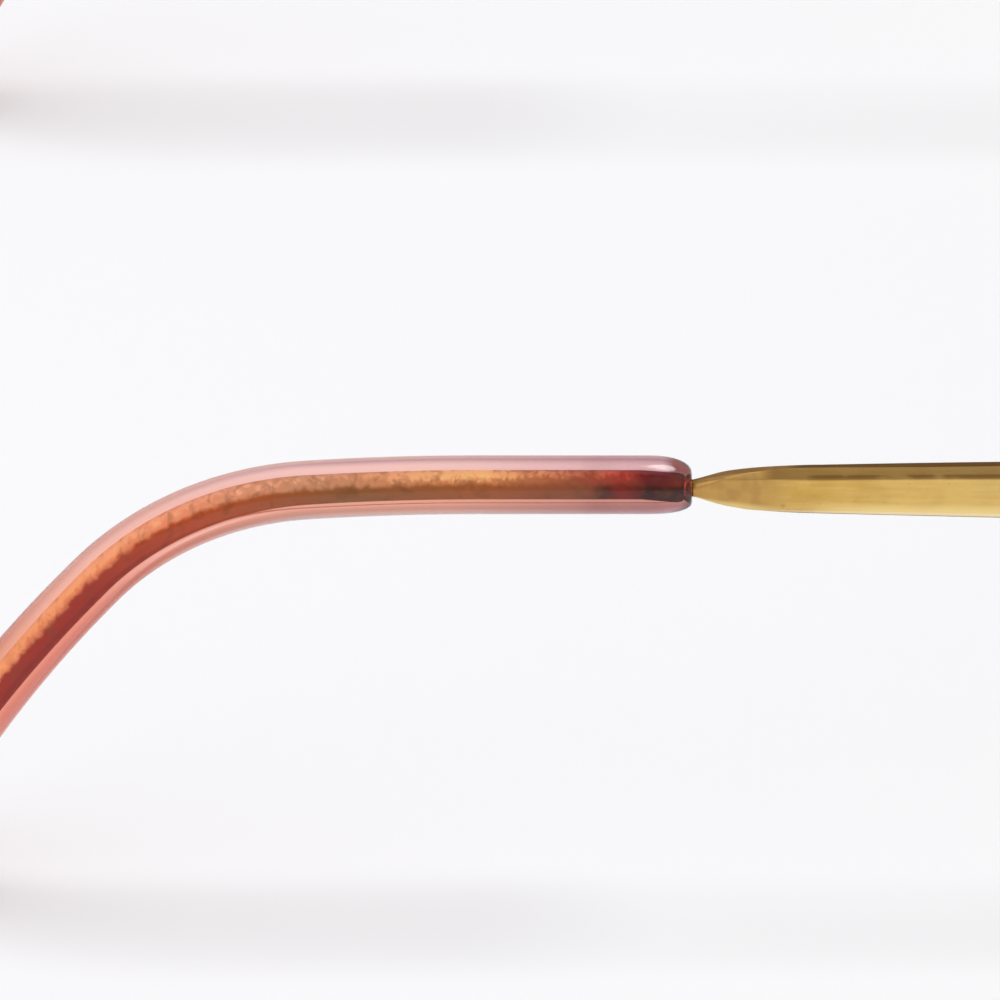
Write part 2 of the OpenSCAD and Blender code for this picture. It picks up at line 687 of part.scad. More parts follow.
// A bent wire from the clasp to the back of the eyewire
module pad_arm() {
    color(gold) difference() {
        at_pad() rotate([-arm_roll, 0, 0]) translate([arm_start, 0, 0]) {
            rotate([0, 90, 0]) cylinder(r = arm_r, h = arm_first - bead_gap);
            translate([arm_first, 0, 0]) sphere(r = arm_bead_r);
            translate([arm_first, 0, arm_bend_r]) rotate([90, 0, 0]) rotate([0, 0, -90 + arm_short])
                rotate_extrude(angle = arm_turn - 2 * arm_short)
                    translate([arm_bend_r, 0]) circle(r = arm_r);
            translate([
                arm_first + arm_bend_r * sin(arm_turn), 0, arm_bend_r * (1 - cos(arm_turn))
            ]) rotate([0, 90 - arm_turn, 0]) {
                sphere(r = arm_bead_r);
                translate([0, 0, bead_gap]) cylinder(r = arm_r, h = arm_last + arm_in - bead_gap);
            }
        }
        stand_up() envelope_nasal(wire_depth / 2);
    }
}

// Two ears and a back, folded from strip
module pad_clasp() {
    wide = ear_in + ear_t;
    room = 5;
    color(gold) at_pad() difference() {
        intersection() {
            union() {
                translate([0, 0, -wide]) cylinder(r = ear_r, h = 2 * wide);
                translate([0, -ear_r, -wide]) cube([clasp_back + ear_t, 2 * ear_r, 2 * wide]);
            }
            translate([-ear_nose, -room, -room]) cube(2 * room);
        }
        translate([-room, -room, -ear_in]) cube([room + clasp_back, 2 * room, 2 * ear_in]);
        translate([0, 0, -wide - overrun]) cylinder(r = pad_screw_r, h = 2 * (wide + overrun));
    }
}

module pad_screw() {
    wide = ear_in + ear_t;
    color(gold) at_pad() translate([0, 0, -wide])
        slotted_screw(pad_screw_r, 2 * wide, pad_head_r, pad_head_h);
}

// The boss that the pad screw passes through, on a plate bonded to the pad
module pad_insert() {
    color(pad_clear) at_pad() difference() {
        union() {
            translate([0, 0, -boss_half]) cylinder(r = boss_r, h = 2 * boss_half);
            translate([-insert_face - stem_in, -stem_t / 2, -boss_half])
                cube([insert_face, stem_t, 2 * boss_half]);
            translate([-pad_back, -insert_h / 2, -insert_w / 2]) cube([insert_t, insert_h, insert_w]);
        }
        translate([0, 0, -boss_half - overrun])
            cylinder(r = pad_screw_r + running, h = 2 * (boss_half + overrun));
    }
}

// An egg-shaped cushion, flat behind and crowned towards the nose
module nose_pad() {
    n = 28;
    crown_steps = 8;
    back_a = 35; // angle of the rounded edge past its widest, at the back
    narrower = 0.3; // half the narrowing from the middle to the top
    // share of the full outline, and share of the thickness, from the back to the crown
    steps = [
        for (i = [0:crown_steps - 1]) let (q = -back_a + (90 + back_a) * i / crown_steps)
            [cos(q), (sin(q) + sin(back_a)) / (1 + sin(back_a))]
    ];
    function egg(share, x) = [
        for (i = [0:n - 1]) let (q = 360 * i / n)
            [x, share * pad_h / 2 * sin(q), share * (pad_w / 2 - narrower * sin(q)) * cos(q)]
    ];
    rings = [for (t = steps) egg(t[0], -pad_back - pad_t * t[1])];
    color(pad_clear, 0.6) at_pad() skin(rings, [-pad_back, 0, 0], [-pad_back - pad_t, 0, 0]);
}

module right() {
    mirror([1, 0, 0]) children();
}

eyewire();  // left_eyewire
right() eyewire();  // right_eyewire
lens();  // left_lens
right() lens();  // right_lens
bridge();
closing_block_upper();  // left_closing_block_upper
right() closing_block_upper();  // right_closing_block_upper
closing_block_lower();  // left_closing_block_lower
right() closing_block_lower();  // right_closing_block_lower
rim_screw();  // left_rim_screw
right() rim_screw();  // right_rim_screw
end_piece();  // left_end_piece
right() end_piece();  // right_end_piece
hinge_front_leaf();  // left_hinge_front_leaf
right() hinge_front_leaf();  // right_hinge_front_leaf
hinge_temple_leaf();  // left_hinge_temple_leaf
right() hinge_temple_leaf();  // right_hinge_temple_leaf
hinge_screw();  // left_hinge_screw
right() hinge_screw();  // right_hinge_screw
temple();  // left_temple
right() temple();  // right_temple
temple_sleeve();  // left_temple_sleeve
right() temple_sleeve();  // right_temple_sleeve
pad_arm();  // left_pad_arm
right() pad_arm();  // right_pad_arm
pad_clasp();  // left_pad_clasp
right() pad_clasp();  // right_pad_clasp
pad_screw();  // left_pad_screw
right() pad_screw();  // right_pad_screw
pad_insert();  // left_pad_insert
right() pad_insert();  // right_pad_insert
nose_pad();  // left_nose_pad
right() nose_pad();  // right_nose_pad
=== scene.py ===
"""Looks of a metal-rimmed eyeglass frame: worn rolled-gold temples drawn down into rose acetate sleeves."""
import json
import math

import bmesh
import bpy
from bpy.props import FloatProperty, FloatVectorProperty, PointerProperty
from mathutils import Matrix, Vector

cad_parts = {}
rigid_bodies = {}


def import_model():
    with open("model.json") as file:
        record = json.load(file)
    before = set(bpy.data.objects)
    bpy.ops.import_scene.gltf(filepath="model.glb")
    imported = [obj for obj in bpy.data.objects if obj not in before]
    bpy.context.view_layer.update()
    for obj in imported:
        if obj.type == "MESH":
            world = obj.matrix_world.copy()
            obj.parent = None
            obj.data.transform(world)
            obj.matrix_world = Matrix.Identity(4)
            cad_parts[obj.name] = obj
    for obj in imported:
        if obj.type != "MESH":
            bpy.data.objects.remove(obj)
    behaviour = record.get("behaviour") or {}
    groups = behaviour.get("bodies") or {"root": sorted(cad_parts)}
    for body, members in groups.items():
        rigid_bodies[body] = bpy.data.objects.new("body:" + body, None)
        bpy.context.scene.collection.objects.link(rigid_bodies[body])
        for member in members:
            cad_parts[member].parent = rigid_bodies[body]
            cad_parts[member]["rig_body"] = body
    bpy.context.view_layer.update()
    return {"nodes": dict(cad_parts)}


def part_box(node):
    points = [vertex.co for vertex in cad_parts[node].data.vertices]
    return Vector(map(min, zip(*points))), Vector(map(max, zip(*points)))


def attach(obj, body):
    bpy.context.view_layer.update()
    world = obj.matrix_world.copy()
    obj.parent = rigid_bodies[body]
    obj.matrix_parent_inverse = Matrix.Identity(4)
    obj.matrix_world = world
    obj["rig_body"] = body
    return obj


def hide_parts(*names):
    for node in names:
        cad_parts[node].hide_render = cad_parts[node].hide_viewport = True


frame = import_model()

bl_info = {
    "name": "Eyeglass frame looks",
    "version": (1, 0, 0),
    "blender": (4, 5, 0),
    "location": "3D View > Sidebar > Eyeglasses",
    "description": "Dresses an eyeglass frame with worn gold temples, rose sleeves, lenses and pads",
    "category": "Object",
}

MM = 0.001
SIDES = {"left": 1, "right": -1}
# Points of a mesh this near to each other are one point.
JOIN_WITHIN = 0.001 * MM
# Steps along a temple's bar, its core, a sleeve and a sleeve's rounded end, and points round a sleeve.
BAR_STEPS, CORE_STEPS, SLEEVE_STEPS, CAP_STEPS, SLEEVE_POINTS = 150, 220, 160, 12, 64
# Steps of the arcs at the six corners of a bar's outline.
CORNER_STEPS = (7, 5, 12, 12, 5, 7)
# Powers that crowd the steps of a bar and of a sleeve towards the mouth. With 1 they would be even.
BAR_CROWDING, SLEEVE_CROWDING = 1.5, 1.4
# Powers by which the pointed end fills out, and then the bar up to its hinge. A greater one does so sooner.
LANCE_FULLNESS, BAR_FULLNESS = 1.75, 2.3
# Power by which a sleeve thickens towards its end. A greater one keeps it slim for longer.
SLEEVE_THICKENING = 2.2
# Power by which a sleeve's mouth is rounded. With 2 it would be a quarter of an ellipse.
MOUTH_ROUNDNESS = 3
# Depth and radius, in millimetres, of the socket inside a sleeve's mouth, from its bottom outwards.
SOCKET = ((0.9, 0.5), (0.9, 0.62), (0.5, 0.78), (0.15, 0.9))
# Distance inside the mouth up to which a temple is gold. Behind it the metal is tarnished.
GOLD_INSIDE = 0.2 * MM
# Distance of the core's end from the start of the sleeve's rounded end.
CORE_ENDS_BEFORE = 5 * MM
# Shading that a loaded CAD node carries with it. It hides the sharp edges of a copy, so a copy goes without.
FIXED_SHADING = "custom_normal"
# Least size, fore and aft, of the normal of a lens's front or back. Its edge's normals are smaller there.
FACES_FORWARD = 0.9


def length(name, about, mm):
    """A length that the user can change, given in millimetres."""
    return FloatProperty(name=name, description=about, default=mm * MM, unit="LENGTH", precision=5)


def angle(name, about, degrees):
    """An angle that the user can change, given in degrees."""
    return FloatProperty(name=name, description=about, default=math.radians(degrees), subtype="ANGLE")


def linear(code):
    """Turns an sRGB hex colour into the linear values that shaders take, opaque."""
    parts = [int(code[i:i + 2], 16) / 255 for i in (1, 3, 5)]
    return (*[p / 12.92 if p <= 0.04045 else ((p + 0.055) / 1.055) ** 2.4 for p in parts], 1.0)


def colour(name, about, code):
    """A colour that the user can change, given as sRGB hex."""
    return FloatVectorProperty(
        name=name, description=about, default=linear(code), size=4, subtype="COLOR", min=0, max=1
    )


class TempleSizes(bpy.types.PropertyGroup):
    """Sizes of a temple's metal"""

    bar_height: length("Height at hinge", "Height of the flat bar where it meets the hinge", 5.2)
    shoulder_height: length("Height at shoulder", "Height where the bar starts to narrow", 3.58)
    thickness: length("Thickness", "Thickness of the flat bar", 1.3)
    lance: length("Pointed end", "Length over which the bar narrows to its neck", 9)
    neck: length("Neck radius", "Radius of the neck at the mouth of the sleeve", 0.6)
    bar_rise: length("Rise", "Climb of the bar's middle from the hinge back to the neck", 0.65)
    sag: length("Sag", "Dip of the bar's middle behind its pointed end, which is gone at the hinge", 0.14)
    neck_inside: length("Neck inside", "Length of the thin neck inside the sleeve", 3.5)
    packed_from: length("Packed from", "Depth in the mouth from which dirt fills the bore", 0.7)
    core: length("Core radius", "Radius of the core inside the straight part of the sleeve", 0.7)
    core_bend: length("Core radius at bend", "Radius of the core where the sleeve bends", 0.74)
    core_widens: length("Core widens from", "Depth in the sleeve at which the core starts to widen", 24)
    bevel: length("Bevel", "Width of the bevel along each outer edge", 1)
    bevel_angle: angle("Bevel angle", "Angle of the bevel from the flat of the bar", 51)
    edge: length("Edge radius", "Radius to which polishing has worn the edges", 0.12)


class SleeveSizes(bpy.types.PropertyGroup):
    """Sizes of a sleeve and of the bend that it shares with the core"""

    radius: length("Radius", "Radius of the straight part", 2.08)
    end_tall: length("End radius", "Radius of the thick end, up and down", 2.5)
    end_wide: length("End radius across", "Radius of the thick end, from side to side", 2.1)
    core_up: length("Core height", "Height of the sleeve and its core above the neck", 0.26)
    mouth: length("Mouth radius", "Radius of the lip round the neck", 1.05)
    mouth_length: length("Mouth length", "Length over which the mouth is rounded", 3.7)
    straight: length("Straight", "Straight length behind the mouth", 15)
    ease_radius: length("Easing radius", "Radius of the easing before the bend", 170)
    ease_angle: angle("Easing angle", "Angle of the easing before the bend", 4.1)
    bend_radius: length("Bend radius", "Radius of the bend over the ear", 21.8)
    bend_angle: angle("Bend angle", "Angle of the bend over the ear", 44.5)
    drop_radius: length("Drop radius", "Radius of the long curve behind the ear", 100)
    drop_angle: angle("Drop angle", "Angle of the long curve behind the ear", 10)
    lean: angle("Lean", "Angle by which the drop leans towards the head", 5)


class Finishes(bpy.types.PropertyGroup):
    """Colours of the finishes"""

    gold: colour("Gold", "Polished rolled gold", "#d8b060")
    # Also the painted sheen along a bar's lower part and its pointed end's lower edge, besides the real
    # polishing streaks.
    polished_gold_and_sheen: colour("Bright gold", "Rolled gold rubbed bright along the lower edge", "#f6dc96")
    worn_gold: colour("Worn gold", "Rolled gold where handling has dulled it", "#c9a052")
    handled_gold: colour("Handled gold", "Rolled gold gone brownish beside the sleeve", "#b48c54")
    # Also painted dark reflection on a bar's upper bevel and ridge, and the brown of its top and lower edge.
    tarnish: colour("Tarnish", "Brown tarnish along edges and in hollows", "#64461a")
    rose: colour("Rose acetate", "Tint that light takes on at a sleeve's surface", "#fff0ee")
    rose_bend: colour("Rose at the bend", "Warmer tint of a sleeve behind the ear", "#ffdcc4")
    # Painted coral light on a sleeve's underside behind the ear.
    rose_under: colour("Rose underneath", "Coral tint of a sleeve's underside behind the ear", "#e8947c")
    # Painted shade along a sleeve's sides seen aslant, and on the wire past its top.
    rose_rim: colour("Rose rim", "Tint along the sides of a sleeve, where it is seen aslant", "#a58a9d")
    # Painted grey shade on a sleeve's underside near its mouth.
    rose_grey: colour("Rose near the mouth", "Greyed tint of a sleeve's underside near its mouth", "#c8b2c6")
    # Painted warm line that stands for the core seen through the bore's lower side.
    rose_seam: colour("Seam", "Tint along the bore's lower side, where the core shows through", "#dc9c78")
    rose_stain: colour("Stain", "Tint of a sleeve's rounded mouth, stained from within", "#68302c")
    rose_depth: colour("Rose depth", "Colour that deepens with the thickness of a sleeve", "#fec1ae")
    lens: colour("Lens", "Tint of the demo lenses", "#f4f8f6")
    lens_edge: colour("Lens edge", "Matt ground edge of the demo lenses", "#dfe6e2")
    pad: colour("Pad", "Tint of the nose pads", "#f6efe4")
    steel: colour("Screw", "Polished screw heads", "#c9b98f")


class StageSizes(bpy.types.PropertyGroup):
    """Place of the camera"""

    elevation: angle("Camera height", "Angle of the camera above the horizon", 26)
    distance: length("Camera distance", "Distance from the camera to the temple", 1956)
    back: length("Aim back", "Distance from the mouth of the sleeve back to the aim", 13.52)
    down: length("Aim down", "Distance from the middle of the sleeve down to the aim, in the picture", 1.075)
    focal: FloatProperty(name="Focal length", description="In millimetres", default=1000, min=50)


PROPERTY_GROUPS = {
    "eyeglass_temple": TempleSizes,
    "eyeglass_sleeve": SleeveSizes,
    "eyeglass_finish": Finishes,
    "eyeglass_stage": StageSizes,
}


def add_node(tree, kind, inputs=None, output=0, stops=None, **settings):
    """Adds a shader node and gives one of its outputs. An input takes a value or another node's output."""
    made = tree.nodes.new("ShaderNode" + kind)
    for name, value in settings.items():
        setattr(made, name, value)
    for name, value in (inputs or {}).items():
        if isinstance(value, bpy.types.NodeSocket):
            tree.links.new(value, made.inputs[name])
        else:
            made.inputs[name].default_value = value
    if stops:
        elements = made.color_ramp.elements
        elements[0].position, elements[0].color = stops[0]
        elements[1].position, elements[1].color = stops[-1]
        for place, tint in stops[1:-1]:
            elements.new(place).color = tint
    return made.outputs[output] if made.outputs else None


def new_material(name):
    """An empty material and its node tree."""
    made = bpy.data.materials.new(name)
    made.use_nodes = True
    made.node_tree.nodes.clear()
    return made, made.node_tree


def per(mm):
    """Repeats per metre of a pattern that repeats every so many millimetres."""
    return 1 / (mm * MM)


def between(value, low, high, most=1.0):
    """Inputs of a map that goes from 0 at low to most at high, where most may be another map's output."""
    return {"Value": value, "From Min": low, "From Max": high, "To Max": most}


# The setting that lets a map start and end gently.
SMOOTH = {"interpolation_type": "SMOOTHSTEP"}


def handling_and_painted_light(tree, place, cloud, base, finish):
    """A temple bar's wear, dull where fingers pull it, with painted sheen below, painted dark reflection on
    its upper bevel, and brown top, lower edge and pits.
    """
    inside, upness, across, below_top, below_ridge = [
        add_node(tree, "Attribute", output="Fac", attribute_name=name)
        for name in ("inside", "upness", "across", "below_top", "below_ridge")
    ]
    # Lengths are in millimetres, and below 0 in front of the mouth. The looks of the pointed end go over to
    # those of the flat between 4 and 8 in front of it.
    lance = add_node(tree, "MapRange", between(inside, -8, -4), **SMOOTH)
    flat = add_node(tree, "MapRange", between(inside, -4, -8), **SMOOTH)
    # Handling has left the pointed end brownish, with cleaner gold in patches.
    share = add_node(tree, "Math", {0: lance, 1: 0.85}, operation="MULTIPLY")
    base = add_node(tree, "MixRGB", {"Fac": share, "Color1": base, "Color2": finish.handled_gold})
    mottle = add_node(tree, "TexNoise", {"Vector": place, "Scale": per(1.1), "Detail": 3.0})
    share = add_node(tree, "MapRange", between(mottle, 0.42, 0.64, lance), **SMOOTH)
    share = add_node(tree, "Math", {0: share, 1: 0.3}, operation="MULTIPLY")
    base = add_node(tree, "MixRGB", {"Fac": share, "Color1": base, "Color2": finish.gold})
    # Polishing has drawn faint bright streaks along the flat, which is brighter towards the front.
    drawn = add_node(tree, "Mapping", {"Vector": place, "Scale": (1.0, 0.06, 1.0)})
    streak = add_node(tree, "TexNoise", {"Vector": drawn, "Scale": per(0.3), "Detail": 2.0})
    share = add_node(tree, "MapRange", between(streak, 0.4, 0.65, flat), **SMOOTH)
    share = add_node(tree, "Math", {0: share, 1: 0.14}, operation="MULTIPLY")
    base = add_node(tree, "MixRGB", {"Fac": share, "Color1": base, "Color2": finish.polished_gold_and_sheen})
    far = add_node(tree, "MapRange", between(inside, -9, -22, 0.2), **SMOOTH)
    base = add_node(tree, "MixRGB", {"Fac": far, "Color1": base, "Color2": finish.polished_gold_and_sheen})
    # The lower part of the flat gets a painted bright sheen, and on the pointed end only its lower edge.
    lit = add_node(tree, "MapRange", between(inside, -5, -13, 0.75), **SMOOTH)
    low = add_node(tree, "MapRange", between(upness, -0.2, -0.65, lit), **SMOOTH)
    edge = add_node(tree, "Math", {0: lance, 1: 0.6}, operation="MULTIPLY")
    edge = add_node(tree, "MapRange", between(upness, -0.5, -0.85, edge), **SMOOTH)
    bright = add_node(tree, "Math", {0: low, 1: edge}, operation="MAXIMUM")
    base = add_node(tree, "MixRGB", {"Fac": bright, "Color1": base, "Color2": finish.polished_gold_and_sheen})
    # The top of the side towards the head, the top itself and the lower edge are darkened brown.
    back = add_node(tree, "MapRange", between(across, 0.0, -0.1), **SMOOTH)
    back = add_node(tree, "MapRange", {"Value": lance, "To Min": back, "To Max": 0.0})
    top = add_node(tree, "MapRange", between(below_top, 0.2, 0.1, back), **SMOOTH)
    brow = add_node(tree, "MapRange", between(below_top, 0.2, 0.05, 0.6), **SMOOTH)
    brow = add_node(tree, "MapRange", between(across, 0.25, 0.05, brow), **SMOOTH)
    foot = add_node(tree, "MapRange", between(inside, -4, -8, 0.7), **SMOOTH)
    foot = add_node(tree, "MapRange", between(upness, -0.88, -0.96, foot), **SMOOTH)
    # The upper bevel gets painted dark reflection in brown, and a darker, patchy line of it follows its
    # ridge.
    begun = add_node(tree, "MapRange", between(inside, -4, -6), **SMOOTH)
    ridged = add_node(tree, "MapRange", between(inside, -5.5, -9, 0.9), **SMOOTH)
    patchy = add_node(tree, "MapRange", between(cloud, 0.2, 0.5, ridged), **SMOOTH)
    above = add_node(tree, "MapRange", between(below_ridge, 0.16, -0.1, patchy), **SMOOTH)
    ridge = add_node(tree, "MapRange", between(below_ridge, -0.42, -0.16, above), **SMOOTH)
    bevel = add_node(tree, "MapRange", between(below_ridge, 0.02, -0.06, begun), **SMOOTH)
    bevel = add_node(tree, "Math", {0: bevel, 1: 0.7}, operation="MULTIPLY")
    # A few brown pits lie on the pointed end.
    cells = add_node(tree, "TexVoronoi", {"Vector": place, "Scale": per(2.2)})
    pitted = add_node(tree, "MapRange", between(cloud, 0.42, 0.5, lance), **SMOOTH)
    pits = add_node(tree, "MapRange", between(cells, 0.14, 0.04, pitted), **SMOOTH)
    # Pits, the painted dark reflection and the darkened top and lower edge all darken the bar and dull its
    # polish.
    dirt = top
    for more in (brow, foot, ridge, bevel, pits):
        dirt = add_node(tree, "Math", {0: dirt, 1: more}, operation="MAXIMUM")
    base = add_node(tree, "MixRGB", {"Fac": dirt, "Color1": base, "Color2": finish.tarnish})
    return base, dirt, lance


def rolled_gold(finish, with_wear_and_painted_light=False):
    """Gold rolled on brass and hand-polished: a warm mirror, cloudy with wear and specked brown, and on a
    temple with painted sheen and shade.
    """
    made, tree = new_material("rolled_gold_on_brass_worn" + ("_temple" if with_wear_and_painted_light else ""))
    place = add_node(tree, "TexCoord", output="Object")
    cloud = add_node(
        tree, "TexNoise", {"Vector": place, "Scale": per(3.2), "Detail": 2.5, "Distortion": 0.4}
    )
    fine = add_node(tree, "TexNoise", {"Vector": place, "Scale": per(0.35), "Detail": 3.0})
    # Wear clouds both its colour and its polish, and fine brown specks lie over it.
    worn = add_node(tree, "MapRange", between(cloud, 0.3, 0.7), **SMOOTH)
    base = add_node(tree, "MixRGB", {"Fac": worn, "Color1": finish.gold, "Color2": finish.worn_gold})
    speckle = add_node(tree, "MapRange", between(fine, 0.6, 0.74, 0.15), **SMOOTH)
    base = add_node(tree, "MixRGB", {"Fac": speckle, "Color1": base, "Color2": finish.tarnish})
    roughness = add_node(tree, "MapRange", {"Value": cloud, "To Min": 0.18, "To Max": 0.32})
    metallic = 1.0
    if with_wear_and_painted_light:
        base, dirt, lance = handling_and_painted_light(tree, place, cloud, base, finish)
        metallic = add_node(tree, "Math", {0: dirt, 1: -0.35, 2: 1.0}, operation="MULTIPLY_ADD")
        roughness = add_node(tree, "Math", {0: lance, 1: 0.12, 2: roughness}, operation="MULTIPLY_ADD")
        roughness = add_node(tree, "Math", {0: dirt, 1: 0.4, 2: roughness}, operation="MULTIPLY_ADD")
    # Years of rubbing have left it slightly uneven.
    height = add_node(tree, "Math", {0: fine, 1: cloud}, operation="ADD")
    bump = add_node(tree, "Bump", {"Strength": 0.2, "Distance": 0.05 * MM, "Height": height})
    inputs = {"Base Color": base, "Metallic": metallic, "Roughness": roughness, "Normal": bump}
    add_node(tree, "OutputMaterial", {"Surface": add_node(tree, "BsdfPrincipled", inputs)})
    return made


def tarnished_core(finish):
    """The drawn wire in a sleeve: painted light and glints on top, painted shade over tarnish below,
    black-red with dirt at the mouth.
    """
    made, tree = new_material("drawn_brass_wire_tarnished")
    place = add_node(tree, "TexCoord", output="Object")
    inside, upness, across = [
        add_node(tree, "Attribute", output="Fac", attribute_name=name)
        for name in ("inside", "upness", "across")
    ]
    # The colours change along the wire, at borders that wander by up to 1.5 mm. A stop's place is a share
    # of 60 mm from the mouth.
    wander, ramp_length = 3.0, 60.0
    drift = add_node(tree, "TexNoise", {"Vector": place, "Scale": per(1.6), "Detail": 3.0})
    shifted = add_node(tree, "Math", {0: drift, 1: wander, 2: inside}, operation="MULTIPLY_ADD")
    ramp = {"Value": shifted, "From Min": wander / 2, "From Max": wander / 2 + ramp_length}
    reach = add_node(tree, "MapRange", ramp)
    # Colours of the painted highlights on the wire's top, along its length.
    glint = add_node(tree, "ValToRGB", {"Fac": reach}, stops=[
        (0.0, linear("#5c3018")), (0.055, linear("#701410")), (0.08, linear("#c85c48")),
        (0.14, linear("#d08c64")), (0.25, linear("#ffe098")), (0.36, linear("#f0c490")),
        (0.46, linear("#ecc8a0")), (0.6, linear("#fcc490")), (1.0, linear("#fcc890")),
    ])
    # Colours of the wire's top, painted as lit from above.
    upper = add_node(tree, "ValToRGB", {"Fac": reach}, stops=[
        (0.0, linear("#54280c")), (0.018, linear("#7c2418")), (0.035, linear("#600608")),
        (0.055, linear("#600608")), (0.08, linear("#a03820")), (0.13, linear("#985034")),
        (0.25, linear("#d09858")), (0.45, linear("#c8a47c")), (0.6, linear("#e4a070")),
        (1.0, linear("#dc9c6c")),
    ])
    # Colours of its underside, painted in shade over its tarnish.
    lower = add_node(tree, "ValToRGB", {"Fac": reach}, stops=[
        (0.0, linear("#40180c")), (0.055, linear("#380804")), (0.08, linear("#802014")),
        (0.105, linear("#4e201c")), (0.135, linear("#8c5838")), (0.25, linear("#a06634")),
        (0.4, linear("#8c6838")), (0.58, linear("#b45828")), (0.75, linear("#a02c08")),
    ])
    # Its underside is painted darker than its top, as painted shade over its tarnish, and the border between
    # them is ragged.
    ragged = add_node(
        tree, "TexNoise", {"Vector": place, "Scale": per(0.7), "Detail": 4.0, "Distortion": 0.3}
    )
    edge = add_node(tree, "Math", {0: ragged, 1: 0.8, 2: upness}, operation="MULTIPLY_ADD")
    share = add_node(tree, "MapRange", between(edge, 0.74, 1.16), **SMOOTH)
    base = add_node(tree, "MixRGB", {"Fac": share, "Color1": lower, "Color2": upper})
    # Painted highlights lie on top in ragged flecks, most of all 11 to 23 mm inside the mouth and from
    # mid-bend on.
    glint_middle = add_node(tree, "MapRange", between(inside, 11, 14), **SMOOTH)
    glint_middle = add_node(tree, "MapRange", between(inside, 23, 19, glint_middle), **SMOOTH)
    glint_bend = add_node(tree, "MapRange", between(inside, 34, 44), **SMOOTH)
    glinting = add_node(tree, "Math", {0: glint_middle, 1: glint_bend}, operation="MAXIMUM")
    flecks = add_node(
        tree, "TexNoise", {"Vector": place, "Scale": per(0.55), "Detail": 3.0, "Distortion": 0.5}
    )
    flecks = add_node(tree, "Math", {0: flecks, 1: 0.9, 2: upness}, operation="MULTIPLY_ADD")
    flecks = add_node(tree, "Math", {0: glinting, 1: 0.2, 2: flecks}, operation="MULTIPLY_ADD")
    share = add_node(tree, "MapRange", between(flecks, 1.27, 1.62), **SMOOTH)
    base = add_node(tree, "MixRGB", {"Fac": share, "Color1": base, "Color2": glint})
    # Beyond its top the wire gets painted shade in the sleeve's rose, and brown tarnish lies on it in
    # clouds.
    shade_past_top = add_node(tree, "MapRange", between(across, 0.2, -0.1, 0.15), **SMOOTH)
    base = add_node(tree, "MixRGB", {"Fac": shade_past_top, "Color1": base, "Color2": finish.rose_rim})
    cloud = add_node(
        tree, "TexNoise", {"Vector": place, "Scale": per(0.8), "Detail": 4.0, "Distortion": 0.8}
    )
    share = add_node(tree, "MapRange", between(cloud, 0.5, 0.66, 0.3), **SMOOTH)
    base = add_node(tree, "MixRGB", {"Fac": share, "Color1": base, "Color2": finish.tarnish})
    bump = add_node(tree, "Bump", {"Strength": 0.5, "Distance": 0.06 * MM, "Height": ragged})
    # The faint glow stands for the light that the clear sleeve gathers on to the wire.
    add_node(tree, "OutputMaterial", {"Surface": add_node(tree, "BsdfPrincipled", {
        "Base Color": base, "Metallic": 0.0, "Roughness": 0.5, "Specular IOR Level": 0.0, "Normal": bump,
        "Emission Color": base, "Emission Strength": 0.3,
    })})
    return made


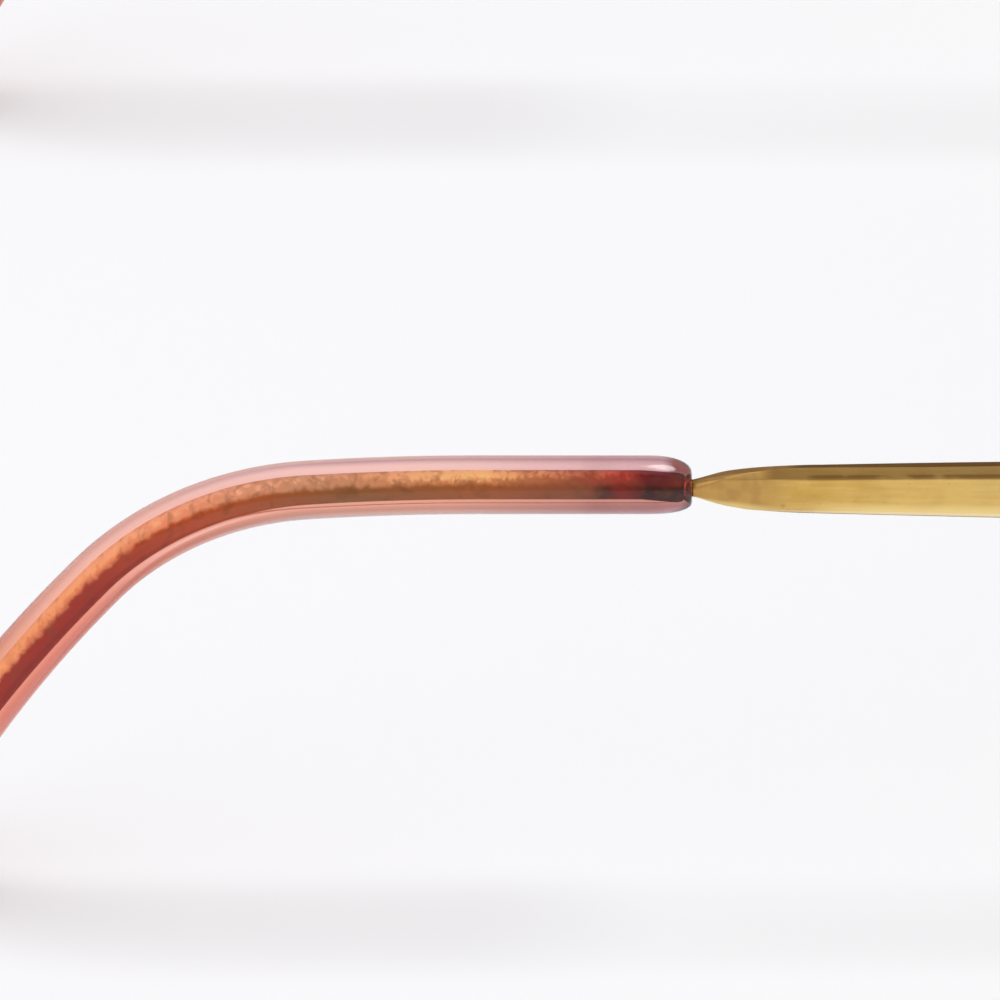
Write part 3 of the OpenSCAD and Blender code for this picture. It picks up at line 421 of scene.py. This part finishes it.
def rose_acetate(finish):
    """Cellulose acetate, extruded and polished: clear rose, deeper where thick, and it bends the view."""
    made, tree = new_material("cellulose_acetate_rose_polished")
    place = add_node(tree, "TexCoord", output="Object")
    inside, upness = [
        add_node(tree, "Attribute", output="Fac", attribute_name=name) for name in ("inside", "upness")
    ]
    # Behind the ear the sleeve is warmer, and its underside gets a painted coral light. Near the mouth its
    # underside gets painted grey shade.
    bend = add_node(tree, "MapRange", between(inside, 26, 50), **SMOOTH)
    share = add_node(tree, "Math", {0: bend, 1: 0.6}, operation="MULTIPLY")
    tint = add_node(tree, "MixRGB", {"Fac": share, "Color1": finish.rose, "Color2": finish.rose_bend})
    under = add_node(tree, "MapRange", between(upness, -0.1, -0.5, bend), **SMOOTH)
    tint = add_node(tree, "MixRGB", {"Fac": under, "Color1": tint, "Color2": finish.rose_under})
    fore = add_node(tree, "MapRange", between(inside, 20, 2), **SMOOTH)
    under = add_node(tree, "MapRange", between(upness, 0.02, -0.14, fore), **SMOOTH)
    tint = add_node(tree, "MixRGB", {"Fac": under, "Color1": tint, "Color2": finish.rose_grey})
    # A faint smudge lies below, 5 to 8 mm inside the mouth.
    smudge = add_node(tree, "MapRange", between(inside, 4.6, 6.4), **SMOOTH)
    smudge = add_node(tree, "MapRange", between(inside, 8.2, 6.8, smudge), **SMOOTH)
    smudge = add_node(tree, "MapRange", between(upness, 0.06, -0.06, smudge), **SMOOTH)
    smudge = add_node(tree, "Math", {0: smudge, 1: 0.15}, operation="MULTIPLY")
    tint = add_node(tree, "MixRGB", {"Fac": smudge, "Color1": tint, "Color2": finish.rose_stain})
    # A painted warm line along the lower side of the bore stands for the core seen through it.
    seam = add_node(tree, "MapRange", between(upness, 0.08, 0.0), **SMOOTH)
    seam = add_node(tree, "MapRange", between(upness, -0.2, -0.08, seam), **SMOOTH)
    tint = add_node(tree, "MixRGB", {"Fac": seam, "Color1": tint, "Color2": finish.rose_seam})
    # Sides seen aslant get painted shade in a mauve tint, less so behind the ear. The painted shade is kept
    # off most of the underside before the bend, and fades again in the outermost line of a side.
    aslant = add_node(tree, "LayerWeight", {"Blend": 0.5}, output="Facing")
    inputs = {"Value": inside, "From Min": 24, "From Max": 38, "To Min": 1.0, "To Max": 0.6}
    most = add_node(tree, "MapRange", inputs)
    rim = add_node(tree, "MapRange", between(aslant, 0.25, 0.5, most), **SMOOTH)
    spared = add_node(tree, "MapRange", between(inside, 34, 24, 0.8), **SMOOTH)
    spared = add_node(tree, "MapRange", between(upness, -0.25, -0.5, spared), **SMOOTH)
    pale = add_node(tree, "MapRange", between(aslant, 0.5, 0.7, 0.5), **SMOOTH)
    spared = add_node(tree, "Math", {0: spared, 1: pale}, operation="MAXIMUM")
    rim = add_node(tree, "MapRange", {"Value": spared, "To Min": rim, "To Max": 0.0})
    tint = add_node(tree, "MixRGB", {"Fac": rim, "Color1": tint, "Color2": finish.rose_rim})
    # The rounded mouth is stained, wholly along its top and faintly round its lip.
    mouth = add_node(tree, "MapRange", between(inside, 2.2, 1.2), **SMOOTH)
    lip = add_node(tree, "MapRange", between(inside, 1.0, 0.3, 0.35), **SMOOTH)
    inputs = {"Value": upness, "From Min": 0.72, "From Max": 0.9, "To Min": lip, "To Max": mouth}
    stain = add_node(tree, "MapRange", inputs, **SMOOTH)
    tint = add_node(tree, "MixRGB", {"Fac": stain, "Color1": tint, "Color2": finish.rose_stain})
    # Wear has left its polish faintly wavy.
    wear = add_node(tree, "TexNoise", {"Vector": place, "Scale": per(2.5), "Detail": 3.0})
    bump = add_node(tree, "Bump", {"Strength": 0.08, "Distance": 0.05 * MM, "Height": wear})
    shader = add_node(tree, "BsdfPrincipled", {
        "Base Color": tint, "Roughness": 0.1, "IOR": 1.48, "Specular IOR Level": 0.1,
        "Transmission Weight": 1.0, "Normal": bump,
    })
    depth = add_node(tree, "VolumeAbsorption", {"Color": finish.rose_depth, "Density": 200.0})
    add_node(tree, "OutputMaterial", {"Surface": shader, "Volume": depth})
    return made


def clear_plastic(name, tint, ior, roughness):
    """A clear moulded plastic with a faint tint, which shows mostly by its edges and reflections."""
    made, tree = new_material(name)
    inputs = {"Base Color": tint, "Roughness": roughness, "IOR": ior, "Transmission Weight": 1.0}
    add_node(tree, "OutputMaterial", {"Surface": add_node(tree, "BsdfPrincipled", inputs)})
    return made


def ground_edge(finish):
    """A demo lens's edge as the wheel leaves it: matt, pale and cloudy, so it lights up in its groove."""
    made, tree = new_material("acrylic_lens_edge_ground")
    inputs = {"Base Color": finish.lens_edge, "Roughness": 0.7, "Specular IOR Level": 0.3}
    add_node(tree, "OutputMaterial", {"Surface": add_node(tree, "BsdfPrincipled", inputs)})
    return made


def polished_metal(name, tint, roughness):
    """A small turned or stamped part with an even polish, which shows by short, clean glints."""
    made, tree = new_material(name)
    inputs = {"Base Color": tint, "Metallic": 1.0, "Roughness": roughness}
    add_node(tree, "OutputMaterial", {"Surface": add_node(tree, "BsdfPrincipled", inputs)})
    return made


def add_object(name, data):
    """A new object in the scene."""
    made = bpy.data.objects.new(name, data)
    bpy.context.scene.collection.objects.link(made)
    return made


def join_points(source, mesh):
    """Fills a mesh with another's faces, joined where their points meet and shaded smooth."""
    shape = bmesh.new()
    shape.from_mesh(source)
    bmesh.ops.remove_doubles(shape, verts=shape.verts, dist=JOIN_WITHIN)
    shape.to_mesh(mesh)
    shape.free()
    mesh.polygons.foreach_set("use_smooth", [True] * len(mesh.polygons))


def skin(name, rings, side, attributes):
    """A closed mesh over rings of points, which run the other way round on the right side."""
    count = len(rings[0])
    vertices = [point for ring in rings for point in ring]
    faces = []
    for j in range(len(rings) - 1):
        for i in range(count):
            k = (i + 1) % count
            faces.append((j * count + i, j * count + k, (j + 1) * count + k, (j + 1) * count + i))
    faces.append(tuple(reversed(range(count))))
    faces.append(tuple(range((len(rings) - 1) * count, len(rings) * count)))
    if side > 0:
        faces = [tuple(reversed(face)) for face in faces]
    mesh = bpy.data.meshes.new(name)
    mesh.from_pydata(vertices, [], faces)
    for label, values in attributes.items():
        mesh.attributes.new(label, "FLOAT", "POINT").data.foreach_set("value", values)
    join_points(mesh, mesh)
    made = add_object(name, mesh)
    made.modifiers.new("Even shading", "WEIGHTED_NORMAL")
    return made


def smooth_copy(node, name, smooth_angle):
    """A copy that stands for a CAD node, smooth except where it turns by more than smooth_angle degrees."""
    mesh = bpy.data.meshes.new(name)
    join_points(frame["nodes"][node].data, mesh)
    if FIXED_SHADING in mesh.attributes:
        mesh.attributes.remove(mesh.attributes[FIXED_SHADING])
    mesh.set_sharp_from_angle(angle=math.radians(smooth_angle))
    made = add_object(name, mesh)
    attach(made, frame["nodes"][node]["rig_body"])
    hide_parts(node)
    return made


def finish_nodes(names, material):
    """Gives CAD nodes their material."""
    for name in names:
        materials = frame["nodes"][name].data.materials
        materials.clear()
        materials.append(material)


def smooth_step(share):
    """0 below 0, 1 above 1, smooth between."""
    share = min(max(share, 0), 1)
    return share * share * (3 - 2 * share)


def neck_place(temple):
    """Middle of the left temple's neck, at the mouth of its sleeve."""
    end_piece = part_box("left_end_piece")[1]
    hinge_z = end_piece.z - temple.bar_height / 2
    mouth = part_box("left_temple_sleeve")[0].y
    return Vector((end_piece.x - temple.thickness / 2, mouth, hinge_z + temple.bar_rise))


def core_place(temple, sleeve):
    """Middle of the sleeve and its core, carried on to the sleeve's mouth."""
    return neck_place(temple) + Vector((0, 0, sleeve.core_up))


def below_core(inside, temple, sleeve):
    """Distance of the neck below the sleeve's middle line at a distance inside the mouth."""
    return sleeve.core_up * max(0, 1 - inside / temple.neck_inside)


def bend_stretches(sleeve):
    """Stretches of the core's middle line from the mouth back: (length, radius, or None where straight)."""
    return [
        (sleeve.straight, None),
        (sleeve.ease_radius * sleeve.ease_angle, sleeve.ease_radius),
        (sleeve.bend_radius * sleeve.bend_angle, sleeve.bend_radius),
        (sleeve.drop_radius * sleeve.drop_angle, sleeve.drop_radius),
        (math.inf, None),
    ]


def middle_line(inside, sleeve):
    """Distance back, drop and downward angle of the core's middle line at a distance inside the mouth."""
    back = drop = turned = 0.0
    for stretch, radius in bend_stretches(sleeve):
        step = min(inside, stretch)
        if radius is None:
            back += step * math.cos(turned)
            drop += step * math.sin(turned)
        else:
            after = turned + step / radius
            back += radius * (math.sin(after) - math.sin(turned))
            drop += radius * (math.cos(turned) - math.cos(after))
            turned = after
        inside -= step
        if inside <= 0:
            break
    return back, drop, turned


def sleeve_reach(temple, sleeve):
    """Length of the sleeve up to its rounded end, so that the end touches the table."""
    curved = sum(stretch for stretch, radius in bend_stretches(sleeve)[:-1])
    drop, turned = middle_line(curved, sleeve)[1:]
    fall = (core_place(temple, sleeve).z - sleeve.end_tall) / math.cos(sleeve.lean)
    return curved + (fall - drop) / math.sin(turned)


def in_bend_plane(across, back, up, place, lean, side):
    """Place in the frame of a point across, back and up from the mouth, with the sleeve's lean."""
    x = place.x + across * math.cos(lean) + up * math.sin(lean)
    z = place.z - across * math.sin(lean) + up * math.cos(lean)
    return Vector((side * x, place.y + back, z))


def half_height(forward, temple, bar_length):
    """Half the height of the bar at a distance forward of the mouth."""
    shoulder = temple.shoulder_height / 2
    if forward < temple.lance:
        filled = 1 - (1 - forward / temple.lance) ** LANCE_FULLNESS
        return temple.neck + (shoulder - temple.neck) * filled
    share = (forward - temple.lance) / (bar_length - temple.lance)
    return shoulder + (temple.bar_height / 2 - shoulder) * (1 - (1 - share) ** BAR_FULLNESS)


def above_hinge(forward, temple, bar_length):
    """Height of the bar's middle at a distance forward of the mouth, above its middle at the hinge."""
    # Distances forward of the mouth where the dip starts, is full and begins to go.
    sag_from, sag_full, sag_until = 2.5 * MM, 8 * MM, 24 * MM
    dipped = smooth_step((forward - sag_from) / (sag_full - sag_from))
    kept = 1 - smooth_step((forward - sag_until) / (bar_length - sag_until))
    return temple.bar_rise * (1 - forward / bar_length) - temple.sag * dipped * kept


def bevel_edge(forward, temple, bar_length, up):
    """Distance of a bevel's inner edge from the bar's middle. up is 1 for the upper bevel, else -1."""
    # The inner edge is straight, and falls as the outer edge does on the whole from here to the hinge.
    slope_from = 12 * MM
    risen = above_hinge(slope_from, temple, bar_length)
    rise = temple.bar_height / 2 - half_height(slope_from, temple, bar_length) - up * risen
    slope = rise / (bar_length - slope_from)
    at_hinge = temple.bar_height / 2 - temple.bevel * math.cos(temple.bevel_angle)
    return at_hinge - slope * (bar_length - forward) - up * above_hinge(forward, temple, bar_length)


def rounded_outline(sides, corner, arc_steps):
    """Rounded outline of a convex bar, whose sides are each the angle of a normal and its distance out."""
    points = []
    for (first, first_out), (then, then_out), steps in zip(sides, sides[1:] + sides[:1], arc_steps):
        turn = (then - first) % math.tau
        first_in, then_in = first_out - corner, then_out - corner
        across = (first_in * math.sin(then) - then_in * math.sin(first)) / math.sin(turn)
        up = (then_in * math.cos(first) - first_in * math.cos(then)) / math.sin(turn)
        for i in range(steps + 1):
            towards = first + turn * i / steps
            points.append((across + corner * math.cos(towards), up + corner * math.sin(towards)))
    return points


def bar_outline(forward, temple, bar_length):
    """Outline of the bar at a distance forward of the mouth, and the height of its bevel's ridge."""
    # Distances forward of the mouth where the bar has reached its full thickness and its sharpest edges.
    full_after, square_after = 2 * MM, 2.6 * MM
    high = half_height(forward, temple, bar_length)
    out = temple.neck + (temple.thickness / 2 - temple.neck) * smooth_step(forward / full_after)
    corner = temple.edge + (temple.neck - temple.edge) * (1 - smooth_step(forward / square_after))
    tilt = temple.bevel_angle
    uncut = (out - corner) * math.cos(tilt) + (high - corner) * math.sin(tilt) + corner
    upper, lower = [
        min(uncut, math.cos(tilt) * temple.thickness / 2
            + math.sin(tilt) * bevel_edge(forward, temple, bar_length, up))
        for up in (1, -1)
    ]
    quarter = math.pi / 2
    sides = [
        (0, out), (tilt, upper), (quarter, high),
        (2 * quarter, out), (3 * quarter, high), (4 * quarter - tilt, lower),
    ]
    ridge = (upper - math.cos(tilt) * out) / math.sin(tilt)
    return rounded_outline(sides, corner, CORNER_STEPS), ridge, high


def bar_rings(temple, bar_length, neck, side, values):
    """Rings of a temple's bar, from the hinge to the mouth. What its material reads is added to values."""
    hinge_z = neck.z - temple.bar_rise
    rings = []
    for i in range(BAR_STEPS):
        share = 1 - i / BAR_STEPS
        forward = bar_length * share ** BAR_CROWDING
        outline, ridge, high = bar_outline(forward, temple, bar_length)
        middle = hinge_z + above_hinge(forward, temple, bar_length)
        rings.append([Vector((side * (neck.x + x), neck.y - forward, middle + z)) for x, z in outline])
        values["below_ridge"] += [(ridge - z) / MM for x, z in outline]
        values["below_top"] += [(high - z) / MM for x, z in outline]
        values["inside"] += [-forward / MM] * len(outline)
        values["upness"] += [z / high for x, z in outline]
        values["across"] += [x / MM for x, z in outline]
    return rings


def core_rings(temple, sleeve, bar_length, side, values):
    """Rings of a temple's core, from the mouth to its end. What its material reads is added to values."""
    # Lengths over which the neck grows to the core's radius and the core widens for the bend.
    grows_over, widens_over = 0.5 * MM, 12 * MM
    # Distance in millimetres that keeps the wear of the bar's edges off the core.
    off_edges = 1.0
    place = core_place(temple, sleeve)
    core_end = sleeve_reach(temple, sleeve) - CORE_ENDS_BEFORE
    outline = bar_outline(0, temple, bar_length)[0]
    rings = []
    for i in range(CORE_STEPS + 1):
        inside = core_end * i / CORE_STEPS
        grown = smooth_step((inside - temple.packed_from) / grows_over)
        widened = smooth_step((inside - temple.core_widens) / widens_over)
        core_radius = temple.core + (temple.core_bend - temple.core) * widened
        scale = 1 + (core_radius / temple.neck - 1) * grown
        back, drop, turned = middle_line(inside, sleeve)
        low = below_core(inside, temple, sleeve)
        rings.append([
            in_bend_plane(
                x * scale, back + (z * scale - low) * math.sin(turned),
                -drop + (z * scale - low) * math.cos(turned), place, sleeve.lean, side,
            )
            for x, z in outline
        ])
        values["below_ridge"] += [off_edges] * len(outline)
        values["below_top"] += [off_edges] * len(outline)
        values["inside"] += [inside / MM] * len(outline)
        values["upness"] += [z / temple.neck for x, z in outline]
        values["across"] += [x * scale / MM for x, z in outline]
    return rings


class EYEGLASS_OT_temples(bpy.types.Operator):
    """Make the temples: flat bevelled bars drawn down to a neck and on into the core of the sleeve"""

    bl_idname = "eyeglass.temples"
    bl_label = "Temples"

    def execute(self, context):
        temple = context.scene.eyeglass_temple
        sleeve = context.scene.eyeglass_sleeve
        finish = context.scene.eyeglass_finish
        gold = rolled_gold(finish, with_wear_and_painted_light=True)
        core = tarnished_core(finish)
        neck = neck_place(temple)
        bar_length = neck.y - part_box("left_temple")[0].y
        for label, side in SIDES.items():
            values = {"below_ridge": [], "below_top": [], "inside": [], "upness": [], "across": []}
            rings = bar_rings(temple, bar_length, neck, side, values)
            rings += core_rings(temple, sleeve, bar_length, side, values)
            made = skin(f"{label}_temple_bar", rings, side, values)
            made.data.materials.append(gold)
            made.data.materials.append(core)
            for face in made.data.polygons:
                face.material_index = int(face.center.y > neck.y + GOLD_INSIDE)
            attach(made, f"{label}_temple")
            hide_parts(f"{label}_temple")
        return {"FINISHED"}


def sleeve_sections(temple, sleeve):
    """Sections of a sleeve from its socket to its tip: distance inside the mouth, half its height and width
    there, and how far its middle lies below the core's line."""
    reach = sleeve_reach(temple, sleeve)
    bend_start = sum(stretch for stretch, radius in bend_stretches(sleeve)[:2])
    sections = [
        (depth * MM, radius * MM, radius * MM, below_core(depth * MM, temple, sleeve))
        for depth, radius in SOCKET
    ]
    for i in range(SLEEVE_STEPS + 1):
        inside = reach * (i / SLEEVE_STEPS) ** SLEEVE_CROWDING
        grown = max(0, (inside - bend_start) / (reach - bend_start)) ** SLEEVE_THICKENING
        lip = 1 - math.sqrt(1 - max(0, 1 - inside / sleeve.mouth_length) ** MOUTH_ROUNDNESS)
        narrowed = (sleeve.radius - sleeve.mouth) * lip
        tall = sleeve.radius + (sleeve.end_tall - sleeve.radius) * grown - narrowed
        wide = sleeve.radius + (sleeve.end_wide - sleeve.radius) * grown - narrowed
        sections.append((inside, tall, wide, sleeve.core_up * lip))
    for i in range(1, CAP_STEPS):
        closed = math.pi / 2 * i / CAP_STEPS
        inside = reach + sleeve.end_tall * math.sin(closed)
        left = math.cos(closed)
        sections.append((inside, sleeve.end_tall * left, sleeve.end_wide * left, 0))
    return sections


def sleeve_rings(temple, sleeve, sections, side, values):
    """Rings of a sleeve, one for each section. What its material reads is added to values."""
    place = core_place(temple, sleeve)
    rings = []
    for inside, tall, wide, low in sections:
        back, drop, turned = middle_line(inside, sleeve)
        ring = []
        for k in range(SLEEVE_POINTS):
            towards = math.tau * k / SLEEVE_POINTS
            up = tall * math.sin(towards) - low
            ring.append(in_bend_plane(
                wide * math.cos(towards), back + up * math.sin(turned), -drop + up * math.cos(turned),
                place, sleeve.lean, side,
            ))
            values["upness"].append(math.sin(towards))
        rings.append(ring)
        values["inside"] += [inside / MM] * SLEEVE_POINTS
    return rings


class EYEGLASS_OT_sleeves(bpy.types.Operator):
    """Make the rose sleeves, bent behind the ear and thick at the end"""

    bl_idname = "eyeglass.sleeves"
    bl_label = "Sleeves"

    def execute(self, context):
        temple = context.scene.eyeglass_temple
        sleeve = context.scene.eyeglass_sleeve
        acetate = rose_acetate(context.scene.eyeglass_finish)
        sections = sleeve_sections(temple, sleeve)
        for label, side in SIDES.items():
            values = {"inside": [], "upness": []}
            rings = sleeve_rings(temple, sleeve, sections, side, values)
            made = skin(f"{label}_sleeve_acetate", rings, side, values)
            made.data.materials.append(acetate)
            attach(made, f"{label}_temple")
            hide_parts(f"{label}_temple_sleeve")
        return {"FINISHED"}


class EYEGLASS_OT_front(bpy.types.Operator):
    """Finish the eyewires, bridge, closing blocks, end pieces, hinge leaves and pad arms in worn gold"""

    bl_idname = "eyeglass.front"
    bl_label = "Front and hinges"

    def execute(self, context):
        gold = rolled_gold(context.scene.eyeglass_finish)
        parts = (
            "closing_block_upper", "closing_block_lower", "end_piece",
            "hinge_front_leaf", "hinge_temple_leaf", "pad_arm", "pad_clasp",
        )
        finish_nodes(["bridge"] + [f"{label}_{part}" for label in SIDES for part in parts], gold)
        for label in SIDES:
            made = smooth_copy(f"{label}_eyewire", f"{label}_eyewire_drawn", smooth_angle=32)
            made.data.materials.append(gold)
        return {"FINISHED"}


class EYEGLASS_OT_screws(bpy.types.Operator):
    """Finish the screws"""

    bl_idname = "eyeglass.screws"
    bl_label = "Screws"

    def execute(self, context):
        finish = context.scene.eyeglass_finish
        steel = polished_metal("nickel_silver_screw_turned", finish.steel, roughness=0.22)
        parts = ("rim_screw", "hinge_screw", "pad_screw")
        finish_nodes([f"{label}_{part}" for label in SIDES for part in parts], steel)
        return {"FINISHED"}


class EYEGLASS_OT_lenses(bpy.types.Operator):
    """Make the clear demo lenses"""

    bl_idname = "eyeglass.lenses"
    bl_label = "Demo lenses"

    def execute(self, context):
        finish = context.scene.eyeglass_finish
        # Moulded acrylic is so even that it shows only by its edge and by sharp reflections.
        clear = clear_plastic("acrylic_demo_lens_moulded", finish.lens, ior=1.49, roughness=0.0)
        edge = ground_edge(finish)
        for label in SIDES:
            made = smooth_copy(f"{label}_lens", f"{label}_demo_lens", smooth_angle=40)
            made.data.materials.append(clear)
            made.data.materials.append(edge)
            for face in made.data.polygons:
                face.material_index = int(abs(face.normal.y) < FACES_FORWARD)
        return {"FINISHED"}


class EYEGLASS_OT_nose_pads(bpy.types.Operator):
    """Make the nose pads and the metal inserts that they are moulded on"""

    bl_idname = "eyeglass.nose_pads"
    bl_label = "Nose pads"

    def execute(self, context):
        finish = context.scene.eyeglass_finish
        # Tumbled acetate is slightly cloudy, so that the insert in it shows softly.
        clear = clear_plastic("cellulose_acetate_pad_clear", finish.pad, ior=1.48, roughness=0.12)
        insert = polished_metal("nickel_silver_insert_stamped", finish.steel, roughness=0.3)
        finish_nodes([f"{label}_pad_insert" for label in SIDES], insert)
        for label in SIDES:
            made = smooth_copy(f"{label}_nose_pad", f"{label}_nose_pad_moulded", smooth_angle=50)
            made.data.materials.append(clear)
        return {"FINISHED"}


def white_for_sight(tree):
    """1 for rays that see the table, straight or in metal and glass, and 0 for those that light things."""
    seen, *others = [
        add_node(tree, "LightPath", output=kind)
        for kind in ("Is Camera Ray", "Is Glossy Ray", "Is Transmission Ray")
    ]
    for other in others:
        seen = add_node(tree, "Math", {0: seen, 1: other}, operation="MAXIMUM")
    return seen


def make_floor():
    """A matt white table, far wider than the picture, that keeps the frame's soft shadow."""
    made, tree = new_material("matt_white_table_board")
    seen = white_for_sight(tree)
    # A faint glow lifts the board to white where it is seen, and lights nothing.
    strength = add_node(tree, "Math", {0: seen, 1: 0.15}, operation="MULTIPLY")
    board = add_node(tree, "BsdfDiffuse", {"Color": linear("#e5e9ec")})
    glow = add_node(tree, "Emission", {"Color": linear("#f8f8fa"), "Strength": strength})
    add_node(tree, "OutputMaterial", {"Surface": add_node(tree, "AddShader", {0: board, 1: glow})})
    reach = 30
    mesh = bpy.data.meshes.new("table")
    corners = [(-reach, -reach, 0), (reach, -reach, 0), (reach, reach, 0), (-reach, reach, 0)]
    mesh.from_pydata(corners, [], [(0, 1, 2, 3)])
    mesh.materials.append(made)
    return add_object("table", mesh)


def make_world(scene):
    """A pale studio wall round the table under a dimmer ceiling."""
    world = bpy.data.worlds.new("studio")
    world.use_nodes = True
    tree = world.node_tree
    tree.nodes.clear()
    up = add_node(tree, "SeparateXYZ", {0: add_node(tree, "TexCoord", output="Generated")}, output="Z")
    wall = add_node(tree, "ValToRGB", {"Fac": up}, stops=[
        (0.0, linear("#f8f8f9")), (0.03, linear("#ead8cc")), (0.1, linear("#dcb8a2")),
        (0.3, linear("#d8bfae")), (0.5, linear("#d4ccc8")), (0.78, linear("#c8c8cc")),
        (0.88, linear("#98989c")), (1.0, linear("#a0a0a4")),
    ])
    background = add_node(tree, "Background", {"Color": wall, "Strength": 1.0})
    add_node(tree, "OutputWorld", {"Surface": background})
    scene.world = world


def make_lamp(name, towards, size, strength):
    """A far soft lamp that lights the whole table evenly. Its size is the angle in degrees that it fills."""
    lamp = bpy.data.lights.new(name, "SUN")
    lamp.angle = math.radians(size)
    lamp.energy = strength
    made = add_object(name, lamp)
    made.rotation_mode = "QUATERNION"
    made.rotation_quaternion = Vector(towards).to_track_quat("Z", "Y")


class EYEGLASS_OT_stage(bpy.types.Operator):
    """Make the table, the studio light and the camera"""

    bl_idname = "eyeglass.stage"
    bl_label = "Stage"

    def execute(self, context):
        scene = context.scene
        sizes = scene.eyeglass_stage
        make_floor()
        make_world(scene)
        make_lamp("key_softbox", towards=(0.2, -0.24, 0.95), size=25, strength=1.3)
        make_lamp("fill_softbox", towards=(-0.6, 0.9, 0.8), size=60, strength=0.6)
        mouth = core_place(scene.eyeglass_temple, scene.eyeglass_sleeve)
        rise = sizes.elevation
        look = Vector((math.cos(rise), 0, -math.sin(rise)))
        up = Vector((math.sin(rise), 0, math.cos(rise)))
        aim = Vector((-mouth.x, mouth.y + sizes.back, mouth.z)) - up * sizes.down
        camera = bpy.data.cameras.new("camera")
        camera.lens = sizes.focal
        camera.clip_start = 0.1
        camera.clip_end = 100
        made = add_object("camera", camera)
        made.location = aim - look * sizes.distance
        made.rotation_mode = "QUATERNION"
        made.rotation_quaternion = look.to_track_quat("-Z", "Y")
        scene.camera = made
        scene.view_settings.view_transform = "Standard"
        return {"FINISHED"}


OPERATORS = (
    EYEGLASS_OT_temples, EYEGLASS_OT_sleeves, EYEGLASS_OT_front, EYEGLASS_OT_screws,
    EYEGLASS_OT_lenses, EYEGLASS_OT_nose_pads, EYEGLASS_OT_stage,
)


class EYEGLASS_PT_pieces(bpy.types.Panel):
    """Lists the pieces of the eyeglass frame"""

    bl_label = "Eyeglass frame"
    bl_idname = "EYEGLASS_PT_pieces"
    bl_space_type = "VIEW_3D"
    bl_region_type = "UI"
    bl_category = "Eyeglasses"

    def draw(self, context):
        for operator in OPERATORS:
            self.layout.operator(operator.bl_idname)
        for name, group in PROPERTY_GROUPS.items():
            box = self.layout.box()
            for field in group.__annotations__:
                box.prop(getattr(context.scene, name), field)


def register():
    """Registers the property groups, the operators and the panel."""
    for name, group in PROPERTY_GROUPS.items():
        bpy.utils.register_class(group)
        setattr(bpy.types.Scene, name, PointerProperty(type=group))
    for operator in OPERATORS:
        bpy.utils.register_class(operator)
    bpy.utils.register_class(EYEGLASS_PT_pieces)


def unregister():
    """Takes back what register adds, last first."""
    bpy.utils.unregister_class(EYEGLASS_PT_pieces)
    for operator in reversed(OPERATORS):
        bpy.utils.unregister_class(operator)
    for name, group in reversed(PROPERTY_GROUPS.items()):
        delattr(bpy.types.Scene, name)
        bpy.utils.unregister_class(group)


def main():
    """Builds the scene."""
    register()
    for operator in OPERATORS:
        group, name = operator.bl_idname.split(".")
        getattr(getattr(bpy.ops, group), name)()


if __name__ == "__main__":
    main()
